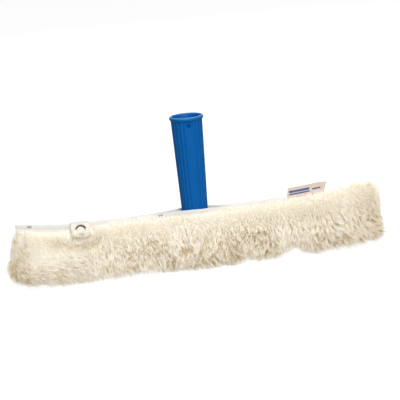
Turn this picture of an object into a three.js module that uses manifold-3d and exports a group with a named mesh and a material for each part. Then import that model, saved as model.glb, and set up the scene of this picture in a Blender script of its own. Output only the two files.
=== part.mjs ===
// Window strip washer: a T-bar with a hollow grip, inside a removable fleece sleeve.
// Millimetres. +Z runs up the grip, X along the bar, and -Y is the front.
// The origin is under the middle of the sleeve, on the surface that it stands on.

import * as THREE from "three";
import { mergeVertices } from "three/addons/utils/BufferGeometryUtils.js";
import Module from "manifold-3d";

const wasm = await Module();
wasm.setup();

// Clearance between pieces that touch, and how far a cut runs past what it cuts
const seatGap = 0.3;
const overrun = 2;

// Cross bar inside the sleeve
const barLength = 345;
const barHeight = 34;
const barThickness = 11;
const barCornerRadius = 8;
const railHeight = 6;
const webThickness = 3;
const midWallThickness = 2.2;
const bayPitch = 27;
const centreBayLength = 24;
const bayCornerRadius = 2;
const slotLengthShare = 0.6;
const slotHeightShare = 0.4;
const collarHeight = 2;
const spigotHeight = 13;
const collarRibLength = 12;
const collarRibHeight = 5;
const collarRibThickness = 3;

// Hollow grip
const gripLength = 101.4;
const gripFootRadius = 12.4;
const gripHeadRadius = 15.2;
const gripFootWall = 3.4;
const gripFloor = 3;
const rimRadius = 16.3;
const rimHeight = 4.2;
const rimFlatWidth = 1.4;
const mouthWall = 2.2;
const mouthTaperDepth = 3;
const boreWall = 1.9;
const boreFootWall = 2.3;
const fluteCount = 9;
const fluteDepth = 0.5;
const fluteLandShare = 0.35;
const panelHalfAngle = THREE.MathUtils.degToRad(18);
const panelEdgeAngle = THREE.MathUtils.degToRad(2.5);
const panelDepth = 0.7;
const panelSteps = 3;
const fluteRunout = 1.5;
const fixingHoleRadius = 1.8;
const fixingHoleDrop = 8.3;

// Screw that joins grip and bar
const screwRadius = 2.5;
const screwHeadRadius = 4.5;
const screwHeadHeight = 3.2;
const screwHeadFaceShare = 0.7;
const screwHeadEdgeShare = 0.33;
const washerRadius = 5;
const washerThickness = 1;
const nutCornerRadius = 4.6;
const nutHeight = 4;
const screwProud = 1;

// Fleece sleeve round the bar
const barPlay = 0.6;
const liningThickness = 0.8;
const pileSide = 11.8;
const pileUnder = 11.3;
const pileOver = 8.2;
const endPile = 11.1;
const gussetDepth = 18.5;
const hollowCornerShare = 3;
const lipPile = 6;
const slitDrop = 0.8;

// How the sleeve's outline changes along its length
const flareRise = 6.4;
const flareLength = 55;
const flarePower = 1.3;
const crestStep = 0.6;
const crestStepLength = 9;
const crestRise = 8;
const crestStartOffset = 12;
const crestPower = 2;
const bareHem = 3.2;
const bareHemLength = 14;
const endLift = 5.5;
const endLiftLength = 51;
const endLiftPower = 1.5;

// Hems of the slit
const hemShow = 1.9;
const hemRootGap = 1.3;
const hemThickness = 1.4;
const hemGap = 1.6;
const hemPlay = 0.6;
const slitOverhang = 7;
const pocketLength = 78;
const slitTaperLeft = 31;
const slitTaperRight = 19;
const hemBendLength = 9;
const hemStep = 14;
const frontHemLift = 2.8;
const frontHemLiftPlace = -5;
const frontHemLiftLength = 36;

// Seam of the closed right end, and the label in it
const seamThickness = 1.6;
const seamSink = 0.6;
const seamEndInset = 3;
const labelStart = 3;
const labelLength = 37.5;
const labelHeight = 10.3;
const labelThickness = 0.8;
const labelTilt = THREE.MathUtils.degToRad(4);
const labelTroughHalfWidth = 5;

// Closing tab and its press stud
const tabInset = 61;
const tabWidth = 18;
const tabThickness = 1;
const tabTipLength = 14;
const tabTipCorner = 4;
const tabAnchorDepth = 7;
const tabSlope = THREE.MathUtils.degToRad(35);
const tabStandoff = 1;
const studDrop = 7;
const capRadius = 5.2;
const capEdgeHeight = 0.5;
const capDome = 0.8;
const capStemRadius = 1.3;
const socketRadius = 4.8;
const socketBack = 0.3;
const ballRadius = 1.9;
const ballNeckRadius = 1.5;
const ballHeight = 1.4;
const ballSwingRoom = 0.9;
const socketDepth = 1.4;
const ballFlangeRadius = 5;
const ballFlangeThickness = 0.5;
const patchThickness = 0.8;
const patchWidth = 20;
const patchTopInset = 1.5;
const patchLength = 12.5;
const backPlateRadius = 4;
const backPlateThickness = 0.5;
const recessMargin = 1.5;

// Heights that follow from the sizes above
const barBottom = pileUnder + seatGap + liningThickness + barPlay;
const barTop = barBottom + barHeight;
const collarTop = barTop + collarHeight;
const spigotTop = collarTop + spigotHeight;
const gripBottom = collarTop + seatGap;
const gripTop = gripBottom + gripLength;
const spigotSocketTop = spigotTop + seatGap;
const gripFloorTop = spigotSocketTop + gripFloor;
const cavityTop = barTop + barPlay + liningThickness + seatGap;
const shoulderHeight = cavityTop + pileOver;
const hemTop = shoulderHeight + hemShow;
const hemBottom = cavityTop + hemRootGap;
const slitFloor = barTop - slitDrop;

// Widths and lengths that follow from the sizes above
const spigotRadius = gripFootRadius - gripFootWall - seatGap;
const screwHoleRadius = screwRadius + seatGap;
const cavityHalfDepth = barThickness / 2 + barPlay + liningThickness + seatGap;
const sleeveHalfDepth = cavityHalfDepth + pileSide;
const liningHalfLength = barLength / 2 + barPlay;
const cavityHalfLength = liningHalfLength + seatGap;
const sleeveHalfLength = cavityHalfLength + endPile;
const coverHalfLength = sleeveHalfLength - gussetDepth;
const slitLeft = -(coverHalfLength + slitOverhang);
const slitRight = coverHalfLength - pocketLength;
const tabPlace = slitLeft + tabInset;
const gripRing = gripRadiusAt(hemTop) + hemPlay;
const slitCloseLeft = gripRing + slitTaperLeft;
const slitCloseRight = gripRing + slitTaperRight;
const slitCutOffset = hemThickness + seatGap;

// Half outline of the sleeve: share of its height, share of its half depth,
// and share of the pile that stands beside the slit
const sleeveShares = [
  [0, 0.5, 0],
  [0.03, 0.68, 0],
  [0.1, 0.85, 0],
  [0.22, 0.96, 0],
  [0.38, 1, 0],
  [0.55, 0.98, 0],
  [0.7, 0.89, 0.9],
  [0.82, 0.75, 1],
  [0.92, 0.56, 0.8],
  [0.98, 0.36, 0.45],
  [1, 0.2, 0.2],
];

// End pieces: share of their depth, of the height lost at the top and at the bottom,
// and of the half depth
const leftEndShares = [
  [0, 0, 0, 1],
  [0.35, 0.03, 0.03, 0.96],
  [0.57, 0.12, 0.06, 0.87],
  [0.8, 0.26, 0.1, 0.71],
  [0.93, 0.4, 0.17, 0.5],
  [1, 0.52, 0.26, 0.3],
];
const rightEndShares = [
  [0, 0, 0, 1],
  [0.35, 0.01, 0.02, 0.97],
  [0.57, 0.04, 0.03, 0.9],
  [0.8, 0.14, 0.05, 0.76],
  [0.93, 0.25, 0.1, 0.58],
  [1, 0.36, 0.18, 0.4],
];

// Rim of the grip: share of the rim's height from its foot, and of how far it stands out
const rimShares = [
  [0.1, 0],
  [0.24, 0.5],
  [0.4, 0.9],
  [0.58, 1],
  [0.78, 0.9],
  [0.93, 0.6],
];

// Colours and finishes
const bluePlastic = new THREE.MeshStandardMaterial({ color: 0x1a66a8, roughness: 0.38, metalness: 0 });
const greyPlastic = new THREE.MeshStandardMaterial({ color: 0x2d3236, roughness: 0.55, metalness: 0 });
const fleece = new THREE.MeshStandardMaterial({ color: 0xefe5d0, roughness: 0.95, metalness: 0 });
const liningCloth = new THREE.MeshStandardMaterial({ color: 0xe4dcc8, roughness: 0.9, metalness: 0 });
const tapeCloth = new THREE.MeshStandardMaterial({ color: 0xf6f1e6, roughness: 0.85, metalness: 0 });
const labelCloth = new THREE.MeshStandardMaterial({ color: 0xe8dcc6, roughness: 0.8, metalness: 0 });
const nickel = new THREE.MeshStandardMaterial({ color: 0xc9c6be, roughness: 0.25, metalness: 1 });
const steel = new THREE.MeshStandardMaterial({ color: 0x9fa3a6, roughness: 0.35, metalness: 1 });

// Small helpers

function gripRadiusAt(height) {
  const share = (height - gripBottom) / gripLength;
  return gripFootRadius + (gripHeadRadius - gripFootRadius) * share;
}

function ramp(from, length, power, place) {
  const share = Math.max(0, (place - from) / length);
  return share ** power;
}

function smoothStep(share) {
  const held = Math.min(1, Math.max(0, share));
  return held * held * (3 - 2 * held);
}

// Booleans

function toSolid(geometry) {
  const bare = geometry.clone();
  bare.deleteAttribute("normal");
  bare.deleteAttribute("uv");
  const merged = mergeVertices(bare, 1e-4);
  return new wasm.Manifold(new wasm.Mesh({
    numProp: 3,
    vertProperties: new Float32Array(merged.attributes.position.array),
    triVerts: new Uint32Array(merged.index.array),
  }));
}

function toGeometry(solid) {
  const data = solid.getMesh();
  const positions = new Float32Array(data.numVert * 3);
  for (let i = 0; i < data.numVert; i += 1) {
    for (let axis = 0; axis < 3; axis += 1) {
      positions[i * 3 + axis] = data.vertProperties[i * data.numProp + axis];
    }
  }
  const geometry = new THREE.BufferGeometry();
  geometry.setAttribute("position", new THREE.BufferAttribute(positions, 3));
  geometry.setIndex(new THREE.BufferAttribute(new Uint32Array(data.triVerts), 1));
  geometry.computeVertexNormals();
  return geometry;
}

function cut(geometry, ...tools) {
  let solid = toSolid(geometry);
  for (const tool of tools) {
    solid = solid.subtract(toSolid(tool));
  }
  return toGeometry(solid);
}

function join(geometry, ...others) {
  let solid = toSolid(geometry);
  for (const other of others) {
    solid = solid.add(toSolid(other));
  }
  return toGeometry(solid);
}

// Basic forms, each in the part's own axes

function box(low, high) {
  const geometry = new THREE.BoxGeometry(high[0] - low[0], high[1] - low[1], high[2] - low[2]);
  return geometry.translate((low[0] + high[0]) / 2, (low[1] + high[1]) / 2, (low[2] + high[2]) / 2);
}

// A turned solid from a profile of radii and heights, which may run either way round
function turned(profile, segments) {
  const points = profile.map(([radius, height]) => new THREE.Vector2(radius, height));
  if (THREE.ShapeUtils.area(points) < 0) {
    points.reverse();
  }
  return new THREE.LatheGeometry(points, segments).rotateX(Math.PI / 2);
}

function rod(radius, low, high, segments) {
  return turned([[0, low], [radius, low], [radius, high], [0, high]], segments);
}

function roundedShape(length, height, radius) {
  const x = length / 2;
  const y = height / 2;
  const r = Math.min(radius, x, y);
  const shape = new THREE.Shape();
  shape.moveTo(-x + r, -y);
  shape.lineTo(x - r, -y);
  shape.absarc(x - r, -y + r, r, -Math.PI / 2, 0);
  shape.lineTo(x, y - r);
  shape.absarc(x - r, y - r, r, 0, Math.PI / 2);
  shape.lineTo(-x + r, y);
  shape.absarc(-x + r, y - r, r, Math.PI / 2, Math.PI);
  shape.lineTo(-x, -y + r);
  shape.absarc(-x + r, -y + r, r, Math.PI, Math.PI * 1.5);
  return shape;
}

// A plate whose outline lies in X and Z, between two depths in Y
function plate(shape, front, back, curveSegments) {
  const geometry = new THREE.ExtrudeGeometry(shape, { depth: back - front, bevelEnabled: false, curveSegments });
  return geometry.rotateX(Math.PI / 2).translate(0, back, 0);
}

function signedVolume(positions, faces) {
  let sum = 0;
  for (let i = 0; i < faces.length; i += 3) {
    const [a, b, c] = [positions[faces[i]], positions[faces[i + 1]], positions[faces[i + 2]]];
    sum += new THREE.Vector3().crossVectors(b, c).dot(a);
  }
  return sum / 6;
}

// A closed solid through a row of rings with equally many points; outline is the rings' shape for the two caps
function loft(rings, outline) {
  const count = outline.length;
  const positions = rings.flat();
  const faces = [];
  for (let ring = 0; ring < rings.length - 1; ring += 1) {
    for (let i = 0; i < count; i += 1) {
      const next = (i + 1) % count;
      const a = ring * count + i;
      const b = ring * count + next;
      faces.push(a, b, b + count, a, b + count, a + count);
    }
  }
  const last = (rings.length - 1) * count;
  for (const [a, b, c] of THREE.ShapeUtils.triangulateShape(outline, [])) {
    faces.push(c, b, a, last + a, last + b, last + c);
  }
  if (signedVolume(positions, faces) < 0) {
    faces.reverse();
  }
  const geometry = new THREE.BufferGeometry().setFromPoints(positions);
  geometry.setIndex(faces);
  geometry.computeVertexNormals();
  return geometry;
}

function named(name, geometry, material) {
  const mesh = new THREE.Mesh(geometry, material);
  mesh.name = name;
  return mesh;
}

// Grip

// Angles round the grip with the depth of the hollow there: a flat panel at the front and at the
// back, and flutes between them
function fluteOutline() {
  const outline = [];
  const fluteSpan = (Math.PI - 2 * panelHalfAngle) / fluteCount;
  for (const start of [0, Math.PI]) {
    const panelEnd = start + panelHalfAngle;
    const floorAngle = panelHalfAngle - panelEdgeAngle;
    for (let step = 0; step <= panelSteps; step += 1) {
      outline.push([start + floorAngle * (2 * step / panelSteps - 1), panelDepth]);
    }
    for (let flute = 0; flute < fluteCount; flute += 1) {
      const angle = panelEnd + flute * fluteSpan;
      outline.push([angle, 0]);
      outline.push([angle + fluteSpan * fluteLandShare, 0]);
      outline.push([angle + fluteSpan * (1 + fluteLandShare) / 2, fluteDepth]);
    }
    outline.push([start + Math.PI - panelHalfAngle, 0]);
  }
  return outline;
}

function gripRing3D(outline, radius, height, depthShare) {
  return outline.map(([angle, depth]) => {
    const reach = radius - depth * depthShare;
    return new THREE.Vector3(reach * Math.sin(angle), -reach * Math.cos(angle), height);
  });
}

function makeGrip() {
  const outline = fluteOutline();
  const rimFoot = gripTop - rimHeight;
  const fluteTop = rimFoot - fluteRunout;
  const headRadius = gripRadiusAt(rimFoot);
  const rings = [
    gripRing3D(outline, gripRadiusAt(gripBottom), gripBottom, 1),
    gripRing3D(outline, gripRadiusAt(fluteTop), fluteTop, 1),
    gripRing3D(outline, headRadius, rimFoot, 0),
  ];
  for (const [heightShare, reachShare] of rimShares) {
    const radius = headRadius + (rimRadius - headRadius) * reachShare;
    rings.push(gripRing3D(outline, radius, rimFoot + rimHeight * heightShare, 0));
  }
  const mouthRadius = rimRadius - mouthWall;
  rings.push(gripRing3D(outline, mouthRadius + rimFlatWidth, gripTop, 0));
  const flat = rings[0].map((point) => new THREE.Vector2(point.x, point.y));
  const boreTopRadius = gripRadiusAt(gripTop - mouthTaperDepth) - boreWall;
  const boreFootRadius = gripRadiusAt(gripFloorTop) - boreFootWall;
  const bore = turned([
    [0, gripFloorTop],
    [boreFootRadius, gripFloorTop],
    [boreTopRadius, gripTop - mouthTaperDepth],
    [mouthRadius, gripTop],
    [mouthRadius, gripTop + overrun],
    [0, gripTop + overrun],
  ], 40);
  const spigotSocket = rod(spigotRadius + seatGap, gripBottom - overrun, spigotSocketTop, 32);
  const screwHole = rod(screwHoleRadius, gripBottom, gripTop, 16);
  const reach = gripHeadRadius + overrun;
  const fixingHole = rod(fixingHoleRadius, -reach, reach, 14).rotateX(Math.PI / 2);
  fixingHole.translate(0, 0, gripTop - fixingHoleDrop);
  return named("grip", cut(loft(rings, flat), bore, spigotSocket, screwHole, fixingHole), bluePlastic);
}

// Cross bar

// Middle and length of each bay of the bar, from left to right
function barBays() {
  const sideLength = barLength / 2 - webThickness - centreBayLength / 2 - webThickness;
  const bayCount = Math.max(1, Math.round((sideLength + webThickness) / bayPitch));
  const pitch = (sideLength + webThickness) / bayCount;
  const length = pitch - webThickness;
  const bays = [{ middle: 0, length: centreBayLength, open: true }];
  for (let bay = 0; bay < bayCount; bay += 1) {
    const middle = centreBayLength / 2 + webThickness + length / 2 + bay * pitch;
    bays.push({ middle, length, open: false }, { middle: -middle, length, open: false });
  }
  return bays;
}

function makeCrossBar() {
  const half = barThickness / 2;
  const middleHeight = barBottom + barHeight / 2;
  const bayHeight = barHeight - 2 * railHeight;
  const block = plate(roundedShape(barLength, barHeight, barCornerRadius), -half, half, 4);
  const tools = [];
  for (const { middle, length, open } of barBays()) {
    const bayShape = roundedShape(length, bayHeight, bayCornerRadius);
    const outer = half + overrun;
    const wall = open ? 0 : midWallThickness / 2;
    tools.push(plate(bayShape, -outer, -wall, 2).translate(middle, 0, middleHeight));
    tools.push(plate(bayShape, wall, outer, 2).translate(middle, 0, middleHeight));
    if (!open) {
      const slotHeight = bayHeight * slotHeightShare;
      const slotShape = roundedShape(length * slotLengthShare, slotHeight, slotHeight / 2);
      tools.push(plate(slotShape, -half, half, 4).translate(middle, 0, middleHeight));
    }
  }
  const ribReach = gripFootRadius + collarRibLength;
  const ribShape = new THREE.Shape();
  ribShape.moveTo(gripFootRadius - collarHeight, barTop - collarHeight);
  ribShape.lineTo(ribReach, barTop - collarHeight);
  ribShape.lineTo(ribReach, barTop);
  ribShape.lineTo(gripFootRadius + seatGap, barTop + collarRibHeight);
  ribShape.lineTo(gripFootRadius + seatGap, collarTop);
  ribShape.lineTo(gripFootRadius - collarHeight, collarTop);
  const rib = plate(ribShape, -collarRibThickness / 2, collarRibThickness / 2, 1);
  const solid = join(
    block.translate(0, 0, middleHeight),
    rod(gripFootRadius, barTop - seatGap, collarTop, 32),
    rod(spigotRadius, barTop, spigotTop, 32),
    rib,
    rib.clone().rotateZ(Math.PI),
  );
  tools.push(rod(screwHoleRadius, barTop - railHeight - overrun, spigotTop + overrun, 16));
  return named("cross_bar", cut(solid, ...tools), greyPlastic);
}

// Screw, washer and nut

function makeFasteners() {
  const washerTop = barTop - railHeight - seatGap;
  const washerBottom = washerTop - washerThickness;
  const headTop = washerBottom - seatGap;
  const headBottom = headTop - screwHeadHeight;
  const nutBottom = gripFloorTop + seatGap;
  const nutTop = nutBottom + nutHeight;
  const headEdge = headBottom + screwHeadHeight * screwHeadEdgeShare;
  const screw = turned([
    [0, headBottom],
    [screwHeadRadius * screwHeadFaceShare, headBottom],
    [screwHeadRadius, headEdge],
    [screwHeadRadius, headTop],
    [screwRadius, headTop],
    [screwRadius, nutTop + screwProud],
    [0, nutTop + screwProud],
  ], 20);
  const washer = turned([
    [screwHoleRadius, washerBottom],
    [washerRadius, washerBottom],
    [washerRadius, washerTop],
    [screwHoleRadius, washerTop],
    [screwHoleRadius, washerBottom],
  ], 24);
  const nut = cut(
    rod(nutCornerRadius, nutBottom, nutTop, 6),
    rod(screwHoleRadius, nutBottom - overrun, nutTop + overrun, 16),
  );
  return [
    named("handle_screw", screw, steel),
    named("screw_washer", washer, steel),
    named("screw_nut", nut, steel),
  ];
}

// Plan of the slit

// Angle on the ring round the grip where a taut hem leaves it, for a hem that closes at this reach
function tangentAngle(reach) {
  const distance = Math.hypot(reach, hemGap / 2);
  return Math.atan2(hemGap / 2, reach) + Math.acos(gripRing / distance);
}

// Half width between the hems at a place along the bar
function slitHalfWidth(x) {
  const reach = x < 0 ? slitCloseLeft : slitCloseRight;
  const along = Math.abs(x);
  if (along >= reach) {
    return hemGap / 2;
  }
  const angle = tangentAngle(reach);
  const touchX = gripRing * Math.cos(angle);
  const touchY = gripRing * Math.sin(angle);
  if (along <= touchX) {
    return Math.sqrt(gripRing ** 2 - along ** 2);
  }
  return touchY + (hemGap / 2 - touchY) * (along - touchX) / (reach - touchX);
}

// Inner face of the back hem seen from above, from left to right
function hemPath() {
  const leftAngle = tangentAngle(slitCloseLeft);
  const rightAngle = tangentAngle(slitCloseRight);
  const path = [];
  const straightTo = (x, y) => {
    const from = path[path.length - 1];
    const pieces = Math.max(1, Math.round(Math.hypot(x - from.x, y - from.y) / hemStep));
    for (let i = 1; i <= pieces; i += 1) {
      path.push(new THREE.Vector2().lerpVectors(from, new THREE.Vector2(x, y), i / pieces));
    }
  };
  const bend = (corner, before, after) => {
    const enter = corner.clone().lerp(before, hemBendLength / corner.distanceTo(before));
    const leave = corner.clone().lerp(after, hemBendLength / corner.distanceTo(after));
    straightTo(enter.x, enter.y);
    const curve = new THREE.QuadraticBezierCurve(enter, corner, leave);
    path.push(...curve.getPoints(4).slice(1));
  };
  const leftTouch = new THREE.Vector2(-gripRing * Math.cos(leftAngle), gripRing * Math.sin(leftAngle));
  const rightTouch = new THREE.Vector2(gripRing * Math.cos(rightAngle), gripRing * Math.sin(rightAngle));
  const start = new THREE.Vector2(slitLeft, hemGap / 2);
  const end = new THREE.Vector2(slitRight, hemGap / 2);
  path.push(start);
  bend(new THREE.Vector2(-slitCloseLeft, hemGap / 2), start, leftTouch);
  straightTo(leftTouch.x, leftTouch.y);
  const arcSteps = 9;
  for (let i = 1; i <= arcSteps; i += 1) {
    const angle = Math.PI - leftAngle + (rightAngle - Math.PI + leftAngle) * i / arcSteps;
    path.push(new THREE.Vector2(gripRing * Math.cos(angle), gripRing * Math.sin(angle)));
  }
  bend(new THREE.Vector2(slitCloseRight, hemGap / 2), rightTouch, end);
  straightTo(end.x, end.y);
  return path;
}

// Direction square to the path, away from the slit, at one of its points
function pathNormal(path, i) {
  const before = path[Math.max(0, i - 1)];
  const after = path[Math.min(path.length - 1, i + 1)];
  const along = new THREE.Vector2().subVectors(after, before).normalize();
  return new THREE.Vector2(-along.y, along.x);
}

function hemRise(x) {
  return flareRise * ramp(flareLength + slitLeft, -flareLength, flarePower, x);
}

// The front hem rides up where it goes round the grip
function frontLift(x) {
  return frontHemLift * (1 - smoothStep(Math.abs(x - frontHemLiftPlace) / frontHemLiftLength));
}

function makeHemTape(name, side) {
  const path = hemPath();
  const edge = hemThickness / 2;
  const section = [new THREE.Vector2(0, hemBottom), new THREE.Vector2(hemThickness, hemBottom)];
  const foldSteps = 4;
  for (let i = 0; i <= foldSteps; i += 1) {
    const angle = Math.PI * i / foldSteps;
    section.push(new THREE.Vector2(edge + edge * Math.cos(angle), hemTop - edge + edge * Math.sin(angle)));
  }
  const rings = path.map((point, i) => {
    const normal = pathNormal(path, i);
    return section.map(({ x: out, y: height }) => new THREE.Vector3(
      point.x + normal.x * out,
      side * (point.y + normal.y * out),
      height + hemRise(point.x) + (side < 0 ? frontLift(point.x) : 0),
    ));
  });
  return named(name, loft(rings, section), tapeCloth);
}

// Space that the hems and the grip take out of the fleece and the lining
function slitCut() {
  const path = hemPath();
  const offset = path.map((point, i) => point.clone().addScaledVector(pathNormal(path, i), slitCutOffset));
  offset[0].x -= seatGap;
  offset[offset.length - 1].x += seatGap;
  const mirrored = offset.map((point) => new THREE.Vector2(point.x, -point.y)).reverse();
  const shape = new THREE.Shape([...offset, ...mirrored]);
  const depth = hemTop + flareRise + overrun - slitFloor;
  return new THREE.ExtrudeGeometry(shape, { depth, bevelEnabled: false }).translate(0, 0, slitFloor);
}

// Sleeve

function crestAt(x) {
  const crestStart = slitRight + crestStartOffset;
  const step = crestStep * smoothStep((x - slitRight + crestStepLength) / crestStepLength);
  const bare = bareHem * smoothStep((tabPlace - x) / bareHemLength);
  return shoulderHeight + step - bare
    + crestRise * ramp(crestStart, coverHalfLength - crestStart, crestPower, x);
}

function floorAt(x) {
  return endLift * ramp(coverHalfLength - endLiftLength, endLiftLength, endLiftPower, Math.abs(x));
}

// Outline of the fleece across the sleeve, with y across and z up
function sleeveOutline(x) {
  const low = floorAt(x);
  const high = crestAt(x) + hemRise(x);
  const slitHalf = slitHalfWidth(x) + slitCutOffset;
  const half = sleeveShares.map(([heightShare, depthShare, lipShare]) => {
    const depth = Math.max(depthShare * sleeveHalfDepth, lipShare > 0 ? slitHalf + lipPile * lipShare : 0);
    return new THREE.Vector2(depth, low + (high - low) * heightShare);
  });
  const front = half.map((point) => new THREE.Vector2(-point.x, point.y)).reverse();
  return [...half, ...front];
}

function ringAt(x, outline) {
  return outline.map((point) => new THREE.Vector3(x, point.x, point.y));
}

function sleeveLoaf() {
  const steps = 44;
  const rings = [];
  for (let i = 0; i <= steps; i += 1) {
    const x = -coverHalfLength + 2 * coverHalfLength * i / steps;
    rings.push(ringAt(x, sleeveOutline(x)));
  }
  return loft(rings, sleeveOutline(0));
}

// Rounded hollow along the bar that leaves this much room round it
function hollow(room, halfLength) {
  const depth = 2 * (barThickness / 2 + room);
  const height = barHeight + 2 * room;
  const corner = barPlay * hollowCornerShare + room - barPlay;
  const shape = roundedShape(depth, height, corner);
  const geometry = new THREE.ExtrudeGeometry(shape, {
    depth: 2 * halfLength, bevelEnabled: false, curveSegments: 3,
  });
  geometry.rotateX(Math.PI / 2).rotateZ(Math.PI / 2);
  return geometry.translate(-halfLength, 0, barBottom + barHeight / 2);
}

function seamTopAt(x) {
  return crestAt(x) - seamSink;
}

function labelBase() {
  const start = slitRight + labelStart;
  const checks = 8;
  let base = 0;
  for (let i = 0; i <= checks; i += 1) {
    const along = labelLength * i / checks;
    base = Math.max(base, seamTopAt(start + along) - along * Math.tan(labelTilt));
  }
  return { x: start, z: base + seatGap };
}

function labelTrough() {
  const { x, z } = labelBase();
  const width = 2 * labelTroughHalfWidth;
  const length = labelLength + 2 * recessMargin;
  const geometry = new THREE.BoxGeometry(length, width, 2 * labelHeight);
  geometry.translate(length / 2 - recessMargin, 0, labelHeight - seatGap);
  return geometry.rotateY(-labelTilt).translate(x, 0, z);
}

function seamGroove() {
  const half = seamThickness / 2 + seatGap;
  const end = coverHalfLength - seamEndInset + seatGap;
  return box([slitRight, -half, hemBottom - seatGap], [end, half, hemTop + crestRise + flareRise]);
}

function makeSeamTape() {
  const half = seamThickness / 2;
  const start = slitRight + 2 * seatGap;
  const end = coverHalfLength - seamEndInset;
  const outlineAt = (x) => [
    new THREE.Vector2(-half, hemBottom),
    new THREE.Vector2(half, hemBottom),
    new THREE.Vector2(half, seamTopAt(x)),
    new THREE.Vector2(-half, seamTopAt(x)),
  ];
  const steps = 10;
  const rings = [];
  for (let i = 0; i <= steps; i += 1) {
    const x = start + (end - start) * i / steps;
    rings.push(ringAt(x, outlineAt(x)));
  }
  return named("pocket_seam_tape", loft(rings, outlineAt(start)), tapeCloth);
}

function makeLabel() {
  const { x, z } = labelBase();
  const half = labelThickness / 2;
  const geometry = box([0, -half, 0], [labelLength, half, labelHeight]);
  geometry.rotateY(-labelTilt).translate(x, 0, z);
  return named("label", geometry, labelCloth);
}

function makeLining() {
  const outside = hollow(barPlay + liningThickness, liningHalfLength);
  const inside = hollow(barPlay, liningHalfLength + overrun);
  return named("sleeve_lining", cut(outside, inside, slitCut()), liningCloth);
}

function makeEndGusset(name, side, shares) {
  const base = sleeveOutline(side * coverHalfLength);
  const lows = base.map((point) => point.y);
  const low = Math.min(...lows);
  const height = Math.max(...lows) - low;
  const depth = gussetDepth - seatGap;
  const rings = shares.map(([outShare, topShare, bottomShare, depthShare]) => {
    const x = side * (coverHalfLength + seatGap + depth * outShare);
    const kept = 1 - topShare - bottomShare;
    const outline = base.map((point) => new THREE.Vector2(
      point.x * depthShare,
      low + height * bottomShare + (point.y - low) * kept,
    ));
    return ringAt(x, outline);
  });
  const tools = [hollow(barPlay + liningThickness + seatGap, cavityHalfLength), slitCut()];
  return named(name, cut(loft(rings, base), ...tools), fleece);
}

// Closing tab

const tabHalf = tabThickness / 2;
const hemOuterFace = hemGap / 2 + hemThickness;
const tabHeight = hemTop + seatGap + tabHalf;
const anchorMiddle = hemOuterFace + seatGap + tabHalf;
const socketTop = tabHalf + seatGap;
const socketMouth = socketTop + socketBack + socketDepth;
const flangeOuter = socketMouth + seatGap;
const patchOuter = flangeOuter + ballFlangeThickness + seatGap;
const patchInner = patchOuter + patchThickness;
const tipPivot = -(hemOuterFace + seatGap + tabStandoff) - patchInner * Math.cos(tabSlope)
  + patchTopInset * Math.sin(tabSlope);

// A strip of the tab, from its pivot end at the origin, which is round about the hinge line,
// down to its free end
function tabStrip(length, corner) {
  const half = tabWidth / 2;
  const face = new THREE.Shape();
  face.moveTo(-half, 0);
  face.lineTo(-half, -length + corner);
  face.absarc(-half + corner, -length + corner, corner, Math.PI, Math.PI * 1.5);
  face.lineTo(half - corner, -length);
  face.absarc(half - corner, -length + corner, corner, -Math.PI / 2, 0);
  face.lineTo(half, 0);
  const flat = plate(face, -tabHalf, tabHalf, 3);
  const round = rod(tabHalf, -half, half, 10).rotateY(Math.PI / 2);
  return join(flat, round);
}

function makeTabAnchor() {
  const top = tabHeight - tabHalf - seatGap;
  const low = [tabPlace - tabWidth / 2, anchorMiddle - tabHalf, top - tabAnchorDepth];
  const high = [tabPlace + tabWidth / 2, anchorMiddle + tabHalf, top];
  return named("tab_anchor", box(low, high), tapeCloth);
}

function makeTabBridge() {
  const length = anchorMiddle - tipPivot - tabHalf - seatGap;
  const geometry = tabStrip(length, 0).rotateX(-Math.PI / 2);
  geometry.translate(tabPlace, anchorMiddle, tabHeight);
  return named("tab_bridge", geometry, tapeCloth);
}

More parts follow.
